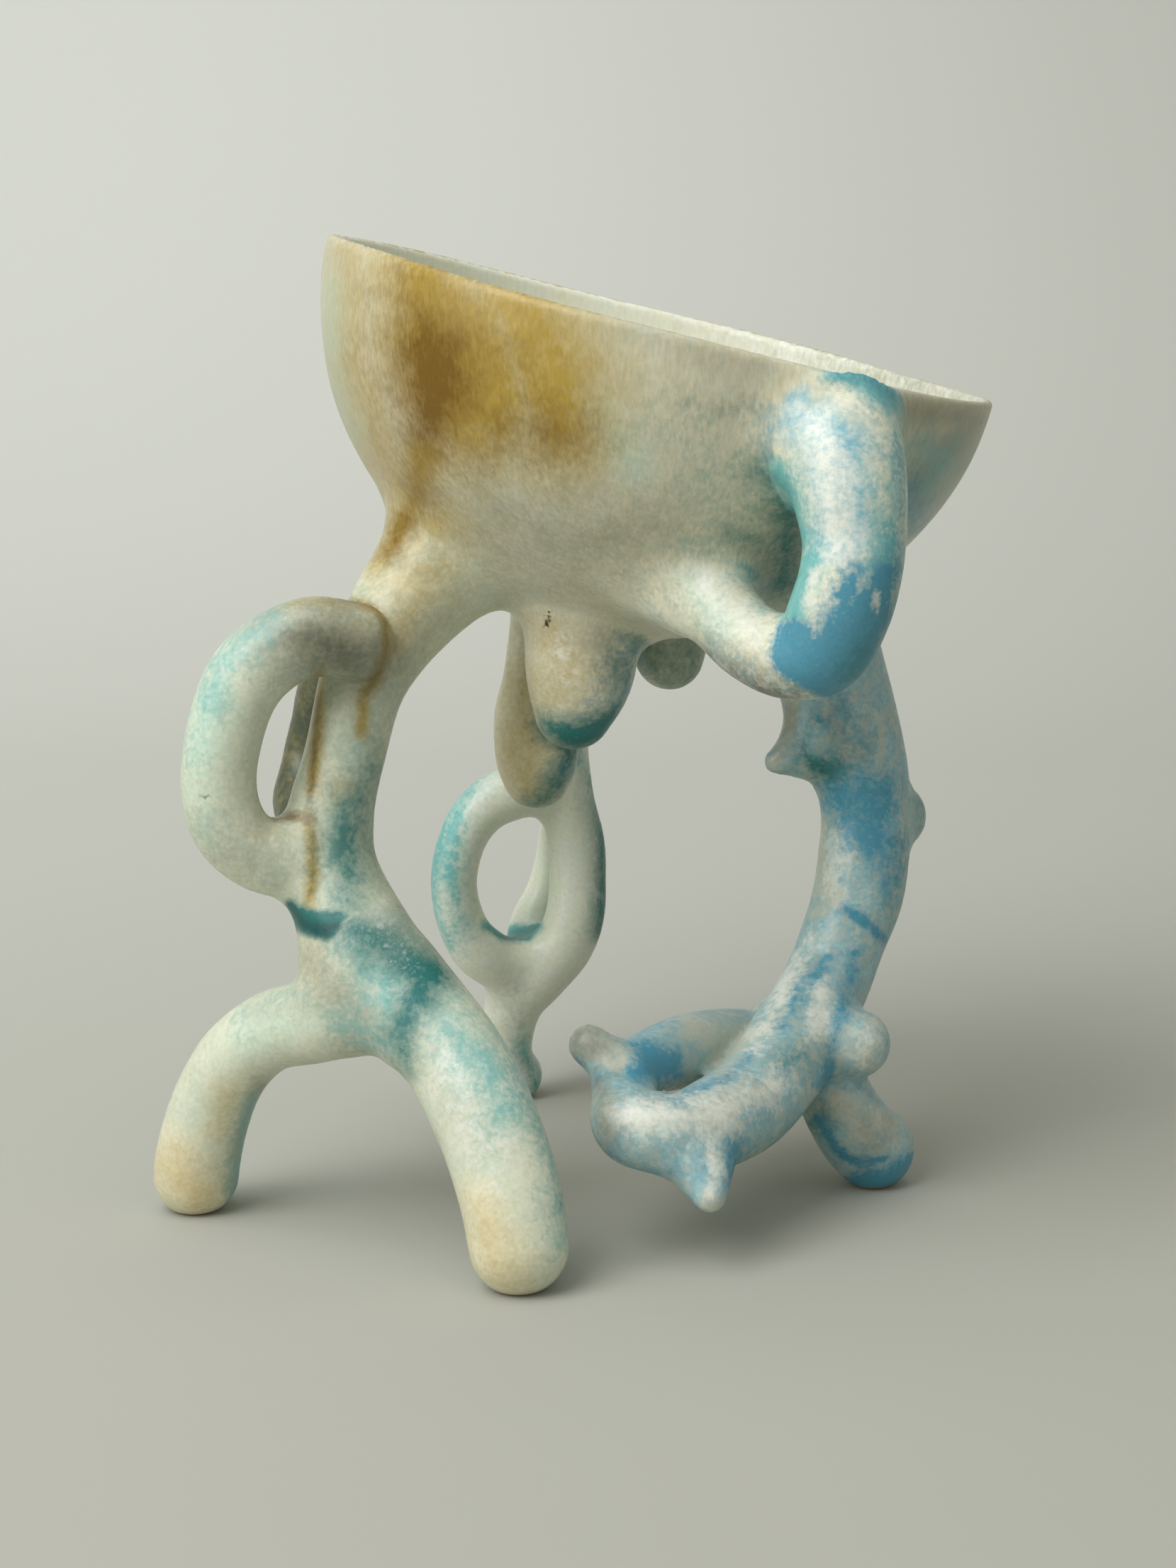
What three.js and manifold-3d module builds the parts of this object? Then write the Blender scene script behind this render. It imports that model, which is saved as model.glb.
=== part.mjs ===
// A small footed bowl of hand-rolled clay, in millimetres, with Z up and the floor at height 0.
// X runs to the right of the front view and Y runs away from the viewer.
// Every limb, foot, strut, drip and knob is its own piece, luted to the pieces that carry it.

import * as THREE from "three";
import { mergeVertices } from "three/addons/utils/BufferGeometryUtils.js";
import Module from "manifold-3d";

// Bowl: a thin half-round shell that leans down to the right.
const bowlRadius = 79;
const bowlDepth = 74;
const bowlWall = 4;
const lipWall = 2.8;
const bowlTilt = 14.1; // degrees
const rimHeight = 204.1; // middle of the rim above the floor
const bowlOffset = 17; // middle of the rim to the right of the drawing's own zero

// Half thickness of each rolled limb where it is most even.
const leftLegRadius = 9.2;
const sideFootRadius = 9.3;
const outerLoopRadius = 8.3;
const backBarRadius = 6.2;
const rearLegRadius = 7;
const rearRingRadius = 6.3;
const rearBraceRadius = 5.3;
const rightLegRadius = 10.8;
const curlRadius = 7.6;
const rightFootRadius = 9.5;
const handleRadius = 10.7;
const handleReach = 28; // from the bowl's wall out to the middle of the handle's bend
const knobRadius = 7.5;
const thornRadius = 5;
const dripRadius = 12.6;

// Joints and feet.
const jointGap = 0.3; // slip line left between two luted pieces
const bedding = 6; // how deep the middle of a limb's end is set into what carries it
const footFlat = 1.2; // depth of the flat worn under each foot

// Where each foot stands, from the drawing's own zero.
const frontFoot = { x: -15, y: -87 };
const sideFoot = { x: -91, y: -35 };
const rearFoot = { x: -19, y: 56 };
const rightFoot = { x: 68, y: -16 };

// Facets: even for the clay, coarse enough to stay light.
const limbSides = 14;
const ringStep = 4.5; // between two rings of a limb
const capRings = 3;
const bowlSides = 48;
const bowlRings = 12;

// The limbs were drawn under a bowl whose underside is this high; their routes stretch with it.
const drawnUnderside = 130.1;
const underside = rimHeight - bowlDepth;

const wasm = await Module();
wasm.setup();

const radians = THREE.MathUtils.degToRad;

// A place on a limb's route: x and y in the plan, z stretched with the bowl's height.
function place(x, y, z) {
  return new THREE.Vector3(x, y, (z * underside) / drawnUnderside);
}

// The middle of a foot's round end, low enough to leave its flat.
function footEnd(foot, radius) {
  return { at: new THREE.Vector3(foot.x, foot.y, radius - footFlat), radius };
}

const bowlTurn = new THREE.Euler(0, radians(bowlTilt), 0);
const rimMiddle = new THREE.Vector3(bowlOffset, 0, rimHeight);

// A point beside the bowl's wall: turned about its axis, so many degrees below the rim plane,
// and standing off the wall by a distance, negative for inside the clay.
function onBowl(turn, dip, standOff) {
  const across = bowlRadius * Math.cos(radians(dip));
  const wall = new THREE.Vector3(
    across * Math.cos(radians(turn)),
    across * Math.sin(radians(turn)),
    -bowlDepth * Math.sin(radians(dip)),
  );
  wall.multiplyScalar(1 + standOff / wall.length());
  return wall.applyEuler(bowlTurn).add(rimMiddle);
}

// A limb: stations with a place and a radius each, joined by a smooth route.
function limb(stations) {
  const places = stations.map((station) => station.at);
  const radii = stations.map((station) => new THREE.Vector3(station.radius, 0, 0));
  const route = new THREE.CatmullRomCurve3(places, false, "catmullrom", 0.5);
  const girth = new THREE.CatmullRomCurve3(radii, false, "catmullrom", 0.5);
  return { route, girth, last: stations.length - 1 };
}

// The middle of a limb at a station, which may lie between two of them.
function along(carrier, station) {
  return carrier.route.getPoint(station / carrier.last);
}

// A point beside a limb's middle.
function beside(carrier, station, x, y, z) {
  return along(carrier, station).add(new THREE.Vector3(x, y, z));
}

// Turns a closed geometry into a solid that can be cut and joined.
function solidOf(geometry) {
  geometry.deleteAttribute("normal");
  geometry.deleteAttribute("uv");
  const merged = mergeVertices(geometry, 1e-3);
  const shape = new wasm.Mesh({
    numProp: 3,
    vertProperties: merged.attributes.position.array,
    triVerts: new Uint32Array(merged.index.array),
  });
  return new wasm.Manifold(shape);
}

// The rings of a limb from end to end: which ring, how wide, and how far a cap ring stands off.
function ringProfile(radii) {
  const profile = [];
  const count = radii.length - 1;
  for (let k = 0; k < capRings; k += 1) {
    const turn = (k / capRings) * (Math.PI / 2);
    profile.push({ ring: 0, out: radii[0] * Math.sin(turn), off: -radii[0] * Math.cos(turn) });
  }
  for (let ring = 0; ring <= count; ring += 1) {
    profile.push({ ring, out: radii[ring], off: 0 });
  }
  for (let k = capRings - 1; k >= 0; k -= 1) {
    const turn = (k / capRings) * (Math.PI / 2);
    const end = radii[count];
    profile.push({ ring: count, out: end * Math.sin(turn), off: end * Math.cos(turn) });
  }
  return profile;
}

// A limb's round body: a turned profile bent along its route, with round caps at both ends.
function limbBody({ route, girth }, extra = 0) {
  const rings = Math.ceil(route.getLength() / ringStep);
  const frames = route.computeFrenetFrames(rings, false);
  const radii = [];
  for (let ring = 0; ring <= rings; ring += 1) {
    radii.push(girth.getPoint(route.getUtoTmapping(ring / rings)).x + extra);
  }
  const profile = ringProfile(radii);
  const turned = new THREE.LatheGeometry(
    profile.map(({ out, off, ring }) => new THREE.Vector2(out, off + ring)),
    limbSides,
  );
  const position = turned.attributes.position;
  const point = new THREE.Vector3();
  for (let i = 0; i < position.count; i += 1) {
    const { ring, off } = profile[i % profile.length];
    const sideways = position.getX(i);
    const upward = position.getZ(i);
    point.copy(route.getPointAt(ring / rings));
    point.addScaledVector(frames.tangents[ring], off);
    point.addScaledVector(frames.binormals[ring], sideways);
    point.addScaledVector(frames.normals[ring], upward);
    position.setXYZ(i, point.x, point.y, point.z);
  }
  return solidOf(turned);
}

// Half an ellipse from the bottom of the bowl up to the rim plane.
function wallCurve(radius, depth) {
  const points = [];
  for (let k = 0; k <= bowlRings; k += 1) {
    const turn = ((k / bowlRings) * Math.PI) / 2;
    points.push(new THREE.Vector2(radius * Math.sin(turn), -depth * Math.cos(turn)));
  }
  return points;
}

// Turns a profile about the bowl's axis and leans it in place.
function turnedBowl(profile) {
  const shape = new THREE.LatheGeometry(profile, bowlSides);
  shape.rotateX(Math.PI / 2);
  shape.rotateY(radians(bowlTilt));
  shape.translate(bowlOffset, 0, rimHeight);
  return solidOf(shape);
}

// The open shell with its rounded lip, thinner at the lip than at the bottom.
function makeBowl() {
  const outside = wallCurve(bowlRadius, bowlDepth);
  const lip = [1, 2, 3].map((k) => {
    const turn = (k * Math.PI) / 4;
    const middle = bowlRadius - lipWall / 2;
    return new THREE.Vector2(
      middle + (lipWall / 2) * Math.cos(turn),
      (lipWall / 2) * Math.sin(turn),
    );
  });
  const inside = wallCurve(bowlRadius - lipWall, bowlDepth - bowlWall).reverse();
  return turnedBowl([...outside, ...lip, ...inside]);
}

// The full inside and wall of the bowl, with the joint gap round it, up past the rim.
function makeBowlCore() {
  const outside = wallCurve(bowlRadius + jointGap, bowlDepth + jointGap);
  const top = bowlRadius / 3;
  const lid = [new THREE.Vector2(bowlRadius + jointGap, top), new THREE.Vector2(0, top)];
  return turnedBowl([...outside, ...lid]);
}

// The ground under the feet, as a block.
function makeGround() {
  const size = 8 * bowlRadius;
  const depth = 50;
  const block = new THREE.BoxGeometry(size, size, depth);
  block.translate(0, 0, -depth / 2);
  return solidOf(block);
}

// The left leg runs from under the bowl down to the front foot.
function makeLeftLeg() {
  const r = leftLegRadius;
  return limb([
    { at: onBowl(-152, 60, -bedding), radius: 1.8 * r },
    { at: place(-39.5, -28, 142), radius: 1.4 * r },
    { at: place(-46, -35, 133), radius: 1.17 * r },
    { at: place(-51, -40, 123), radius: 1.04 * r },
    { at: place(-54.5, -43, 108.5), radius: 0.98 * r },
    { at: place(-57.5, -45, 95.5), radius: 1.06 * r },
    { at: place(-57.5, -48, 83), radius: 1.2 * r },
    { at: place(-49.5, -55, 68), radius: 1.28 * r },
    { at: place(-42, -59, 60), radius: 1.25 * r },
    { at: place(-29.5, -68, 46), radius: 1.23 * r },
    { at: place(-22, -76, 34), radius: 1.22 * r },
    { at: place(-17, -83, 20.5), radius: 1.22 * r },
    footEnd(frontFoot, 1.17 * r),
  ]);
}

// The side foot leaves the leg at its fork and arches down to the left.
function makeSideFoot(leftLeg) {
  const r = sideFootRadius;
  return limb([
    { at: along(leftLeg, 8), radius: 1.2 * r },
    { at: beside(leftLeg, 8, -9, 3.5, -3.5), radius: 1.3 * r },
    { at: place(-60, -52, 50.5), radius: 1.1 * r },
    { at: place(-73, -47, 45), radius: 0.95 * r },
    { at: place(-79, -44, 39), radius: 0.98 * r },
    { at: place(-84, -41, 32), radius: 1.0 * r },
    { at: place(-88, -38, 22), radius: 1.03 * r },
    { at: place(-90.3, -36, 13), radius: 1.06 * r },
    footEnd(sideFoot, 1.06 * r),
  ]);
}

// The outer loop laps the front of the leg at its top and runs back into it lower down.
function makeOuterLoop(leftLeg) {
  const r = outerLoopRadius;
  return limb([
    { at: beside(leftLeg, 2, -5.5, -15, 2.5), radius: 1.05 * r },
    { at: place(-61, -55, 137), radius: 1.06 * r },
    { at: place(-70.5, -57, 132.5), radius: 1.06 * r },
    { at: place(-77, -57, 123.5), radius: 1.03 * r },
    { at: place(-81, -56, 108), radius: 1.0 * r },
    { at: place(-80, -55, 97), radius: 1.0 * r },
    { at: place(-75, -54, 90), radius: 0.98 * r },
    { at: place(-68, -52, 87), radius: 1.02 * r },
    { at: along(leftLeg, 5.8), radius: 1.3 * r },
  ]);
}

// A thinner bar leans behind the loop, from the leg's shoulder to its knee.
function makeBackBar(leftLeg) {
  const r = backBarRadius;
  return limb([
    { at: beside(leftLeg, 2, 0, 3, 0), radius: 1.05 * r },
    { at: place(-59, -20, 123), radius: 1.0 * r },
    { at: place(-63, -15, 111), radius: 0.98 * r },
    { at: place(-65.5, -15, 101), radius: 1.0 * r },
    { at: place(-66, -23, 93), radius: 1.05 * r },
    { at: along(leftLeg, 5.6), radius: 1.1 * r },
  ]);
}

// The rear leg drops from the bowl, swells through its open ring and ends in the smallest foot.
function makeRearLeg() {
  const r = rearLegRadius;
  return limb([
    { at: onBowl(97, 68, -bedding), radius: 1.9 * r },
    { at: place(-7, 37, 122), radius: 1.2 * r },
    { at: place(-6.5, 42, 108), radius: 0.97 * r },
    { at: place(-6.5, 45, 94), radius: 0.95 * r },
    { at: place(-5.3, 49, 80), radius: 1.0 * r },
    { at: place(-3, 51, 68.5), radius: 1.04 * r },
    { at: place(-2.5, 51, 59.5), radius: 1.04 * r },
    { at: place(-3.3, 50, 50), radius: 1.07 * r },
    { at: place(-6.5, 50, 42), radius: 1.1 * r },
    { at: place(-13, 51, 35), radius: 1.2 * r },
    { at: place(-18.7, 52, 27), radius: 1.08 * r },
    { at: place(-20.7, 53, 18), radius: 0.95 * r },
    { at: place(-20.7, 54, 11), radius: 0.92 * r },
    footEnd(rearFoot, 1.0 * r),
  ]);
}

// The left side of the rear leg's ring.
function makeRearRing(rearLeg) {
  const r = rearRingRadius;
  return limb([
    { at: along(rearLeg, 3.8), radius: 1.0 * r },
    { at: place(-16, 44, 84), radius: 1.06 * r },
    { at: place(-25.5, 42, 80.5), radius: 1.05 * r },
    { at: place(-31.5, 41, 72.5), radius: 0.98 * r },
    { at: place(-34, 41, 60.5), radius: 0.94 * r },
    { at: place(-31.5, 43, 48), radius: 1.0 * r },
    { at: place(-25.5, 46, 40), radius: 1.1 * r },
    { at: along(rearLeg, 9.2), radius: 1.15 * r },
  ]);
}

// The brace that stands behind the ring.
function makeRearBrace(rearLeg) {
  const r = rearBraceRadius;
  return limb([
    { at: along(rearLeg, 3.7), radius: 1.0 * r },
    { at: place(-7, 63, 73), radius: 0.98 * r },
    { at: place(-8.5, 69, 62), radius: 0.98 * r },
    { at: place(-11, 68, 52), radius: 1.02 * r },
    { at: place(-15, 62, 43.5), radius: 1.1 * r },
    { at: along(rearLeg, 9.4), radius: 1.15 * r },
  ]);
}

// The right leg bends down and forward and sweeps round to the front of the curl.
function makeRightLeg() {
  const r = rightLegRadius;
  return limb([
    { at: onBowl(0, 51, -bedding), radius: 1.45 * r },
    { at: place(56, 2, 125), radius: 1.25 * r },
    { at: place(61, 3, 110), radius: 1.17 * r },
    { at: place(65, 2, 98), radius: 1.04 * r },
    { at: place(66.5, 1, 86), radius: 1.0 * r },
    { at: place(66, -1, 78), radius: 1.0 * r },
    { at: place(64.5, -3, 68), radius: 1.0 * r },
    { at: place(61, -6, 58), radius: 0.95 * r },
    { at: place(56.5, -11, 48), radius: 0.95 * r },
    { at: place(48, -26, 37.7), radius: 1.01 * r },
    { at: place(37.5, -44, 29.5), radius: 1.02 * r },
    { at: place(28.5, -58, 28), radius: 0.95 * r },
    { at: place(19, -68.5, 28.6), radius: 0.82 * r },
    { at: place(9.2, -69.5, 31), radius: 0.74 * r },
    { at: place(7, -61, 35.5), radius: 0.62 * r },
  ]);
}

// The back of the curl closes the ring behind the leg.
function makeCurl(rightLeg) {
  const r = curlRadius;
  return limb([
    { at: along(rightLeg, 13.8), radius: 0.78 * r },
    { at: place(9.2, -54, 38.4), radius: 0.84 * r },
    { at: place(15.3, -44, 38.4), radius: 0.98 * r },
    { at: place(21.6, -33, 37.2), radius: 1.12 * r },
    { at: place(28.4, -21.5, 34.6), radius: 1.24 * r },
    { at: place(35, -12.5, 32.3), radius: 1.26 * r },
    { at: place(43, -8, 32.6), radius: 1.15 * r },
    { at: along(rightLeg, 8.2), radius: 1.0 * r },
  ]);
}

// The right foot comes out behind the leg and stands short and thick.
function makeRightFoot(rightLeg) {
  const r = rightFootRadius;
  return limb([
    { at: beside(rightLeg, 8.8, 1, 3, -1), radius: 0.9 * r },
    { at: place(59.5, -21, 20.7), radius: 0.95 * r },
    { at: place(64.5, -18, 12.5), radius: 1.0 * r },
    footEnd(rightFoot, 1.02 * r),
  ]);
}

// The handle stands off the bowl at the front right and returns to it lower and further left.
function makeHandle() {
  const r = handleRadius;
  const reach = handleReach;
  return limb([
    { at: onBowl(-58, 9, -bedding), radius: 1.15 * r },
    { at: onBowl(-59.5, 11, 0.08 * reach), radius: 1.24 * r },
    { at: onBowl(-59, 16, 0.4 * reach), radius: 1.13 * r },
    { at: onBowl(-58, 21, 0.64 * reach), radius: 1.02 * r },
    { at: onBowl(-58, 25, 0.82 * reach), radius: 1.0 * r },
    { at: onBowl(-58, 29, 0.93 * reach), radius: 1.0 * r },
    { at: onBowl(-58, 34, reach), radius: 0.96 * r },
    { at: onBowl(-60, 38, 0.9 * reach), radius: 0.85 * r },
    { at: onBowl(-63, 41, 0.65 * reach), radius: 0.78 * r },
    { at: onBowl(-66, 44, 0.24 * reach), radius: 0.83 * r },
    { at: onBowl(-71, 50, -bedding), radius: 1.12 * r },
  ]);
}

// A drip hangs from the bowl's underside; each stop is a shift from its root and a radius.
function makeDrip(root, rootRadius, stops) {
  const hung = stops.map(([x, y, drop, radius]) => ({
    at: root.clone().add(new THREE.Vector3(x, y, -drop)),
    radius,
  }));
  return limb([{ at: root, radius: rootRadius }, ...hung]);
}

// A knob or thorn stands on a limb and points away from it.
function makeStub(root, rootRadius, x, y, z, tipRadius) {
  const tip = root.clone().add(new THREE.Vector3(x, y, z));
  const middle = root.clone().lerp(tip, 0.55);
  const middleRadius = rootRadius * 0.5 + tipRadius * 0.5;
  return limb([
    { at: root, radius: rootRadius },
    { at: middle, radius: middleRadius },
    { at: tip, radius: tipRadius },
  ]);
}

// Every piece below the bowl, carriers before what they carry.
function makeLimbs() {
  const leftLeg = makeLeftLeg();
  const rearLeg = makeRearLeg();
  const rightLeg = makeRightLeg();
  const drip = dripRadius;
  const knob = knobRadius;
  const thorn = thornRadius;
  return {
    left_leg: leftLeg,
    rear_leg: rearLeg,
    right_leg: rightLeg,
    handle: makeHandle(),
    left_side_foot: makeSideFoot(leftLeg),
    left_outer_loop: makeOuterLoop(leftLeg),
    left_back_bar: makeBackBar(leftLeg),
    rear_ring: makeRearRing(rearLeg),
    rear_brace: makeRearBrace(rearLeg),
    right_foot: makeRightFoot(rightLeg),
    right_curl: makeCurl(rightLeg),
    centre_drip: makeDrip(onBowl(-94, 76, -bedding), 1.1 * drip, [
      [-1, -2, 9, 1.04 * drip],
      [-1.5, -3, 16.5, 0.98 * drip],
      [-3, -3, 25, 0.72 * drip],
    ]),
    long_drip: makeDrip(onBowl(146, 80, -bedding), 0.62 * drip, [
      [-4.5, 0, 14, 0.4 * drip],
      [-4, 0, 24, 0.56 * drip],
      [-3.5, 0, 33, 0.77 * drip],
      [-3, 0, 41.5, 0.79 * drip],
      [-3, 0, 46.5, 0.66 * drip],
    ]),
    small_drip: makeDrip(onBowl(46, 64, -bedding), 0.72 * drip, [
      [-2.3, 0, 9, 0.72 * drip],
      [-3.8, 0, 17.6, 0.67 * drip],
    ]),
    inner_thorn: makeStub(along(rightLeg, 2.3), 2.2 * thorn, -18, -12, -5, 0.6 * thorn),
    outer_knob: makeStub(along(rightLeg, 4), 1.15 * knob, 7, 6, -1, knob),
    lower_knob: makeStub(along(rightLeg, 8.8), 1.15 * knob, 13.5, -2.5, -3.5, 0.95 * knob),
    curl_knob: makeStub(beside(rightLeg, 14, 1.8, 4, 3.5), 0.74 * knob, -8.4, 3.5, 5.6, 0.6 * knob),
    curl_thorn: makeStub(along(rightLeg, 11.4), 1.85 * thorn, 1.8, -15, -10.2, 0.7 * thorn),
  };
}

// The clay and glaze seen on each piece: colour, roughness.
const glazes = {
  bowl: ["#cfc9ae", 0.45],
  left_leg: ["#c9c9ad", 0.42],
  rear_leg: ["#8fb3a8", 0.42],
  right_leg: ["#5f98ac", 0.42],
  handle: ["#8fb8c9", 0.42],
  left_side_foot: ["#d3d6c2", 0.42],
  left_outer_loop: ["#c8dccf", 0.42],
  left_back_bar: ["#6f6b3c", 0.45],
  rear_ring: ["#9ccac4", 0.42],
  rear_brace: ["#b9cfc0", 0.42],
  right_foot: ["#8ba39b", 0.42],
  right_curl: ["#7fa9ae", 0.42],
  centre_drip: ["#a99c6c", 0.35],
  long_drip: ["#9c9468", 0.35],
  small_drip: ["#5e7f78", 0.35],
  inner_thorn: ["#9a9a8e", 0.42],
  outer_knob: ["#4a869c", 0.42],
  lower_knob: ["#b9c4b8", 0.42],
  curl_knob: ["#a9b09c", 0.42],
  curl_thorn: ["#c3d3d6", 0.42],
};

// The mesh of a finished solid, named for its piece.
function meshOf(name, solid) {
  const cut = solid.getMesh();
  const geometry = new THREE.BufferGeometry();
  geometry.setAttribute("position", new THREE.BufferAttribute(cut.vertProperties, 3));
  geometry.setIndex(new THREE.BufferAttribute(cut.triVerts, 1));
  geometry.computeVertexNormals();
  const [color, roughness] = glazes[name];
  const glaze = new THREE.MeshStandardMaterial({ color, roughness, metalness: 0 });
  const mesh = new THREE.Mesh(geometry, glaze);
  mesh.name = name;
  return mesh;
}

// The largest body of a cut limb, without any sliver the cut leaves behind.
function largestBody(solid) {
  const bodies = solid.decompose();
  return bodies.reduce((best, body) => (body.volume() > best.volume() ? body : best));
}

// Each limb stops short of the bowl, the ground and every piece made before it.
function buildPieces() {
  const solids = { bowl: makeBowl() };
  const ground = makeGround();
  const made = [makeBowlCore()];
  for (const [name, piece] of Object.entries(makeLimbs())) {
    let solid = limbBody(piece).subtract(ground);
    for (const earlier of made) {
      solid = solid.subtract(earlier);
    }
    solids[name] = largestBody(solid);
    made.push(limbBody(piece, jointGap));
  }
  return solids;
}

// The group stands with the middle of its footprint's bounding box on the origin.
function standOnOrigin(meshes) {
  const group = new THREE.Group();
  const bounds = new THREE.Box3();
  for (const mesh of meshes) {
    bounds.expandByObject(mesh);
  }
  const middle = bounds.getCenter(new THREE.Vector3());
  for (const mesh of meshes) {
    mesh.geometry.translate(-middle.x, -middle.y, 0);
    group.add(mesh);
  }
  return group;
}

const pieces = Object.entries(buildPieces());
const group = standOnOrigin(pieces.map(([name, solid]) => meshOf(name, solid)));

export default group;
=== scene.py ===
"""A small footed bowl of hand-rolled clay under a mottled reactive glaze, on a pale studio floor.

The clay members are laid over each other, turned into one skin and smoothed at their joints the
way wet clay is, and the skin is then parted again along the joints, so each member is a piece.
"""

import math

import bmesh
import bpy
import numpy as np
from mathutils import Matrix, Vector


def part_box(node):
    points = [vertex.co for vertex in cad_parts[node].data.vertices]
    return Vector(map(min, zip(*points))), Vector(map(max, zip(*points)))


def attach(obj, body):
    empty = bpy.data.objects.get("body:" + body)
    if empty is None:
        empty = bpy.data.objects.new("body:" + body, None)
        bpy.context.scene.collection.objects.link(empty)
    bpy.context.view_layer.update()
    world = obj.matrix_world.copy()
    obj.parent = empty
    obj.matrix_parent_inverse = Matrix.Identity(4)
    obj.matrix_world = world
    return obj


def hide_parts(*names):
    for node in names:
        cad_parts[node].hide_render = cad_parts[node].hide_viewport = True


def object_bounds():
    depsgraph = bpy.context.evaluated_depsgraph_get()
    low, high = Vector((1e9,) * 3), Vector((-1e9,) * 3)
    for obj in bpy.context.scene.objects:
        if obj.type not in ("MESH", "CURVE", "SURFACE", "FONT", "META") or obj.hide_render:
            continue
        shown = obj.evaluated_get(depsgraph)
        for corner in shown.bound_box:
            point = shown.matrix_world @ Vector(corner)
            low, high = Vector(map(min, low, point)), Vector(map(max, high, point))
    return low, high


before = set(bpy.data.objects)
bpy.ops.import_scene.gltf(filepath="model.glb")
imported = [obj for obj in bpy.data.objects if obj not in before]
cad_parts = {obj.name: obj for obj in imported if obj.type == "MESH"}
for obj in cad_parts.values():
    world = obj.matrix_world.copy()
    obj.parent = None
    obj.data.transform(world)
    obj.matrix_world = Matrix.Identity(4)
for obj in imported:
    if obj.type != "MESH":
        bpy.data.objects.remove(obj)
cad_box = [list(corner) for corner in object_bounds()]
MM = 0.001

# The bowl, in millimetres, as the frame has it.
BOWL_RADIUS = 79.0
BOWL_DEPTH = 74.0
BOWL_WALL = 4.0
LIP_WALL = 2.8
BOWL_TILT = math.radians(14.1)
RIM_HEIGHT = 204.1
BOWL_OFFSET = 17.0
BEDDING = 6.0
FOOT_FLAT = 1.2
HANDLE_REACH = 28.0

# The clay's finish, in millimetres: the rounding of its edges, the deepest groove at the loop,
# the half of the slip line between members, and how fine the skin is, first rough, then even.
LIP_ROUND = 1.6
FOOT_ROUND = 1.0
LOOP_GROOVE = 0.8
HALF_SLIP = 0.15
ROUGH_SKIN = 1.6
EVEN_SKIN = 1.25

# Marks a point of the skin that is on no border between members.
NO_MEMBER = 99

# The limbs are drawn from a zero of their own; this is where that zero lies in the frame.
bowl_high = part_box("bowl")[1] / MM
SHIFT = Vector((
    bowl_high.x - BOWL_OFFSET - BOWL_RADIUS * math.cos(BOWL_TILT),
    bowl_high.y - BOWL_RADIUS,
    0.0,
))
LEAN = Matrix.Rotation(BOWL_TILT, 3, "Y")
RIM_MIDDLE = Vector((BOWL_OFFSET, 0.0, RIM_HEIGHT)) + SHIFT


# Routes of the clay members

def place(x, y, z):
    """A place on a limb's route, from the drawing's zero."""
    return Vector((x, y, z)) + SHIFT


def on_bowl(turn, dip, stand_off):
    """A point off the bowl's wall, turned about its axis and so far below the rim plane."""
    turn, dip = math.radians(turn), math.radians(dip)
    wall = Vector((
        BOWL_RADIUS * math.cos(dip) * math.cos(turn),
        BOWL_RADIUS * math.cos(dip) * math.sin(turn),
        -BOWL_DEPTH * math.sin(dip),
    ))
    wall *= 1 + stand_off / wall.length
    return LEAN @ wall + RIM_MIDDLE


def foot_end(x, y, radius):
    """The middle of a foot's round end, low enough to leave its worn flat."""
    return (*(Vector((x, y, radius - FOOT_FLAT)) + SHIFT), radius)


def at(point, radius):
    """A station of a limb: a place, and the radius of the clay there."""
    return (*point, radius)


def along(stations, where):
    """A point (x, y, z, radius) on the smooth route through the stations."""
    i = min(int(where), len(stations) - 2)
    t = where - i
    p = [np.array(s) for s in stations]
    b, c = p[i], p[i + 1]
    a = p[i - 1] if i > 0 else 2 * b - c
    d = p[i + 2] if i + 2 < len(p) else 2 * c - b
    m, n = (c - a) / 2, (d - b) / 2
    return (
        b
        + m * t
        + (-3 * b + 3 * c - 2 * m - n) * t**2
        + (2 * b - 2 * c + m + n) * t**3
    )


def on_limb(stations, where, x=0.0, y=0.0, z=0.0):
    """A point beside the middle of a limb."""
    return Vector(along(stations, where)[:3]) + Vector((x, y, z))


def left_leg():
    r = 9.2
    return [
        at(on_bowl(-152, 60, -BEDDING), 1.8 * r),
        at(place(-39.5, -28, 142), 1.4 * r),
        at(place(-46, -35, 133), 1.17 * r),
        at(place(-51, -40, 123), 1.04 * r),
        at(place(-54.5, -43, 108.5), 0.98 * r),
        at(place(-57.5, -45, 95.5), 1.06 * r),
        at(place(-57.5, -48, 83), 1.2 * r),
        at(place(-49.5, -55, 68), 1.28 * r),
        at(place(-42, -59, 60), 1.25 * r),
        at(place(-29.5, -68, 46), 1.23 * r),
        at(place(-22, -76, 34), 1.22 * r),
        at(place(-17, -83, 20.5), 1.22 * r),
        foot_end(-15, -87, 1.17 * r),
    ]


def side_foot(leg):
    r = 9.3
    return [
        at(on_limb(leg, 8), 0.9 * r),
        at(on_limb(leg, 8, -9, 3.5, -3.5), 1.3 * r),
        at(place(-60, -52, 50.8), 1.08 * r),
        at(place(-71, -48, 46.6), 0.97 * r),
        at(place(-78.5, -44.5, 40.2), 0.96 * r),
        at(place(-84, -41, 32), 0.98 * r),
        at(place(-88, -38, 22), 1.03 * r),
        at(place(-90.3, -36, 13), 1.06 * r),
        foot_end(-91, -35, 1.06 * r),
    ]


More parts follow.
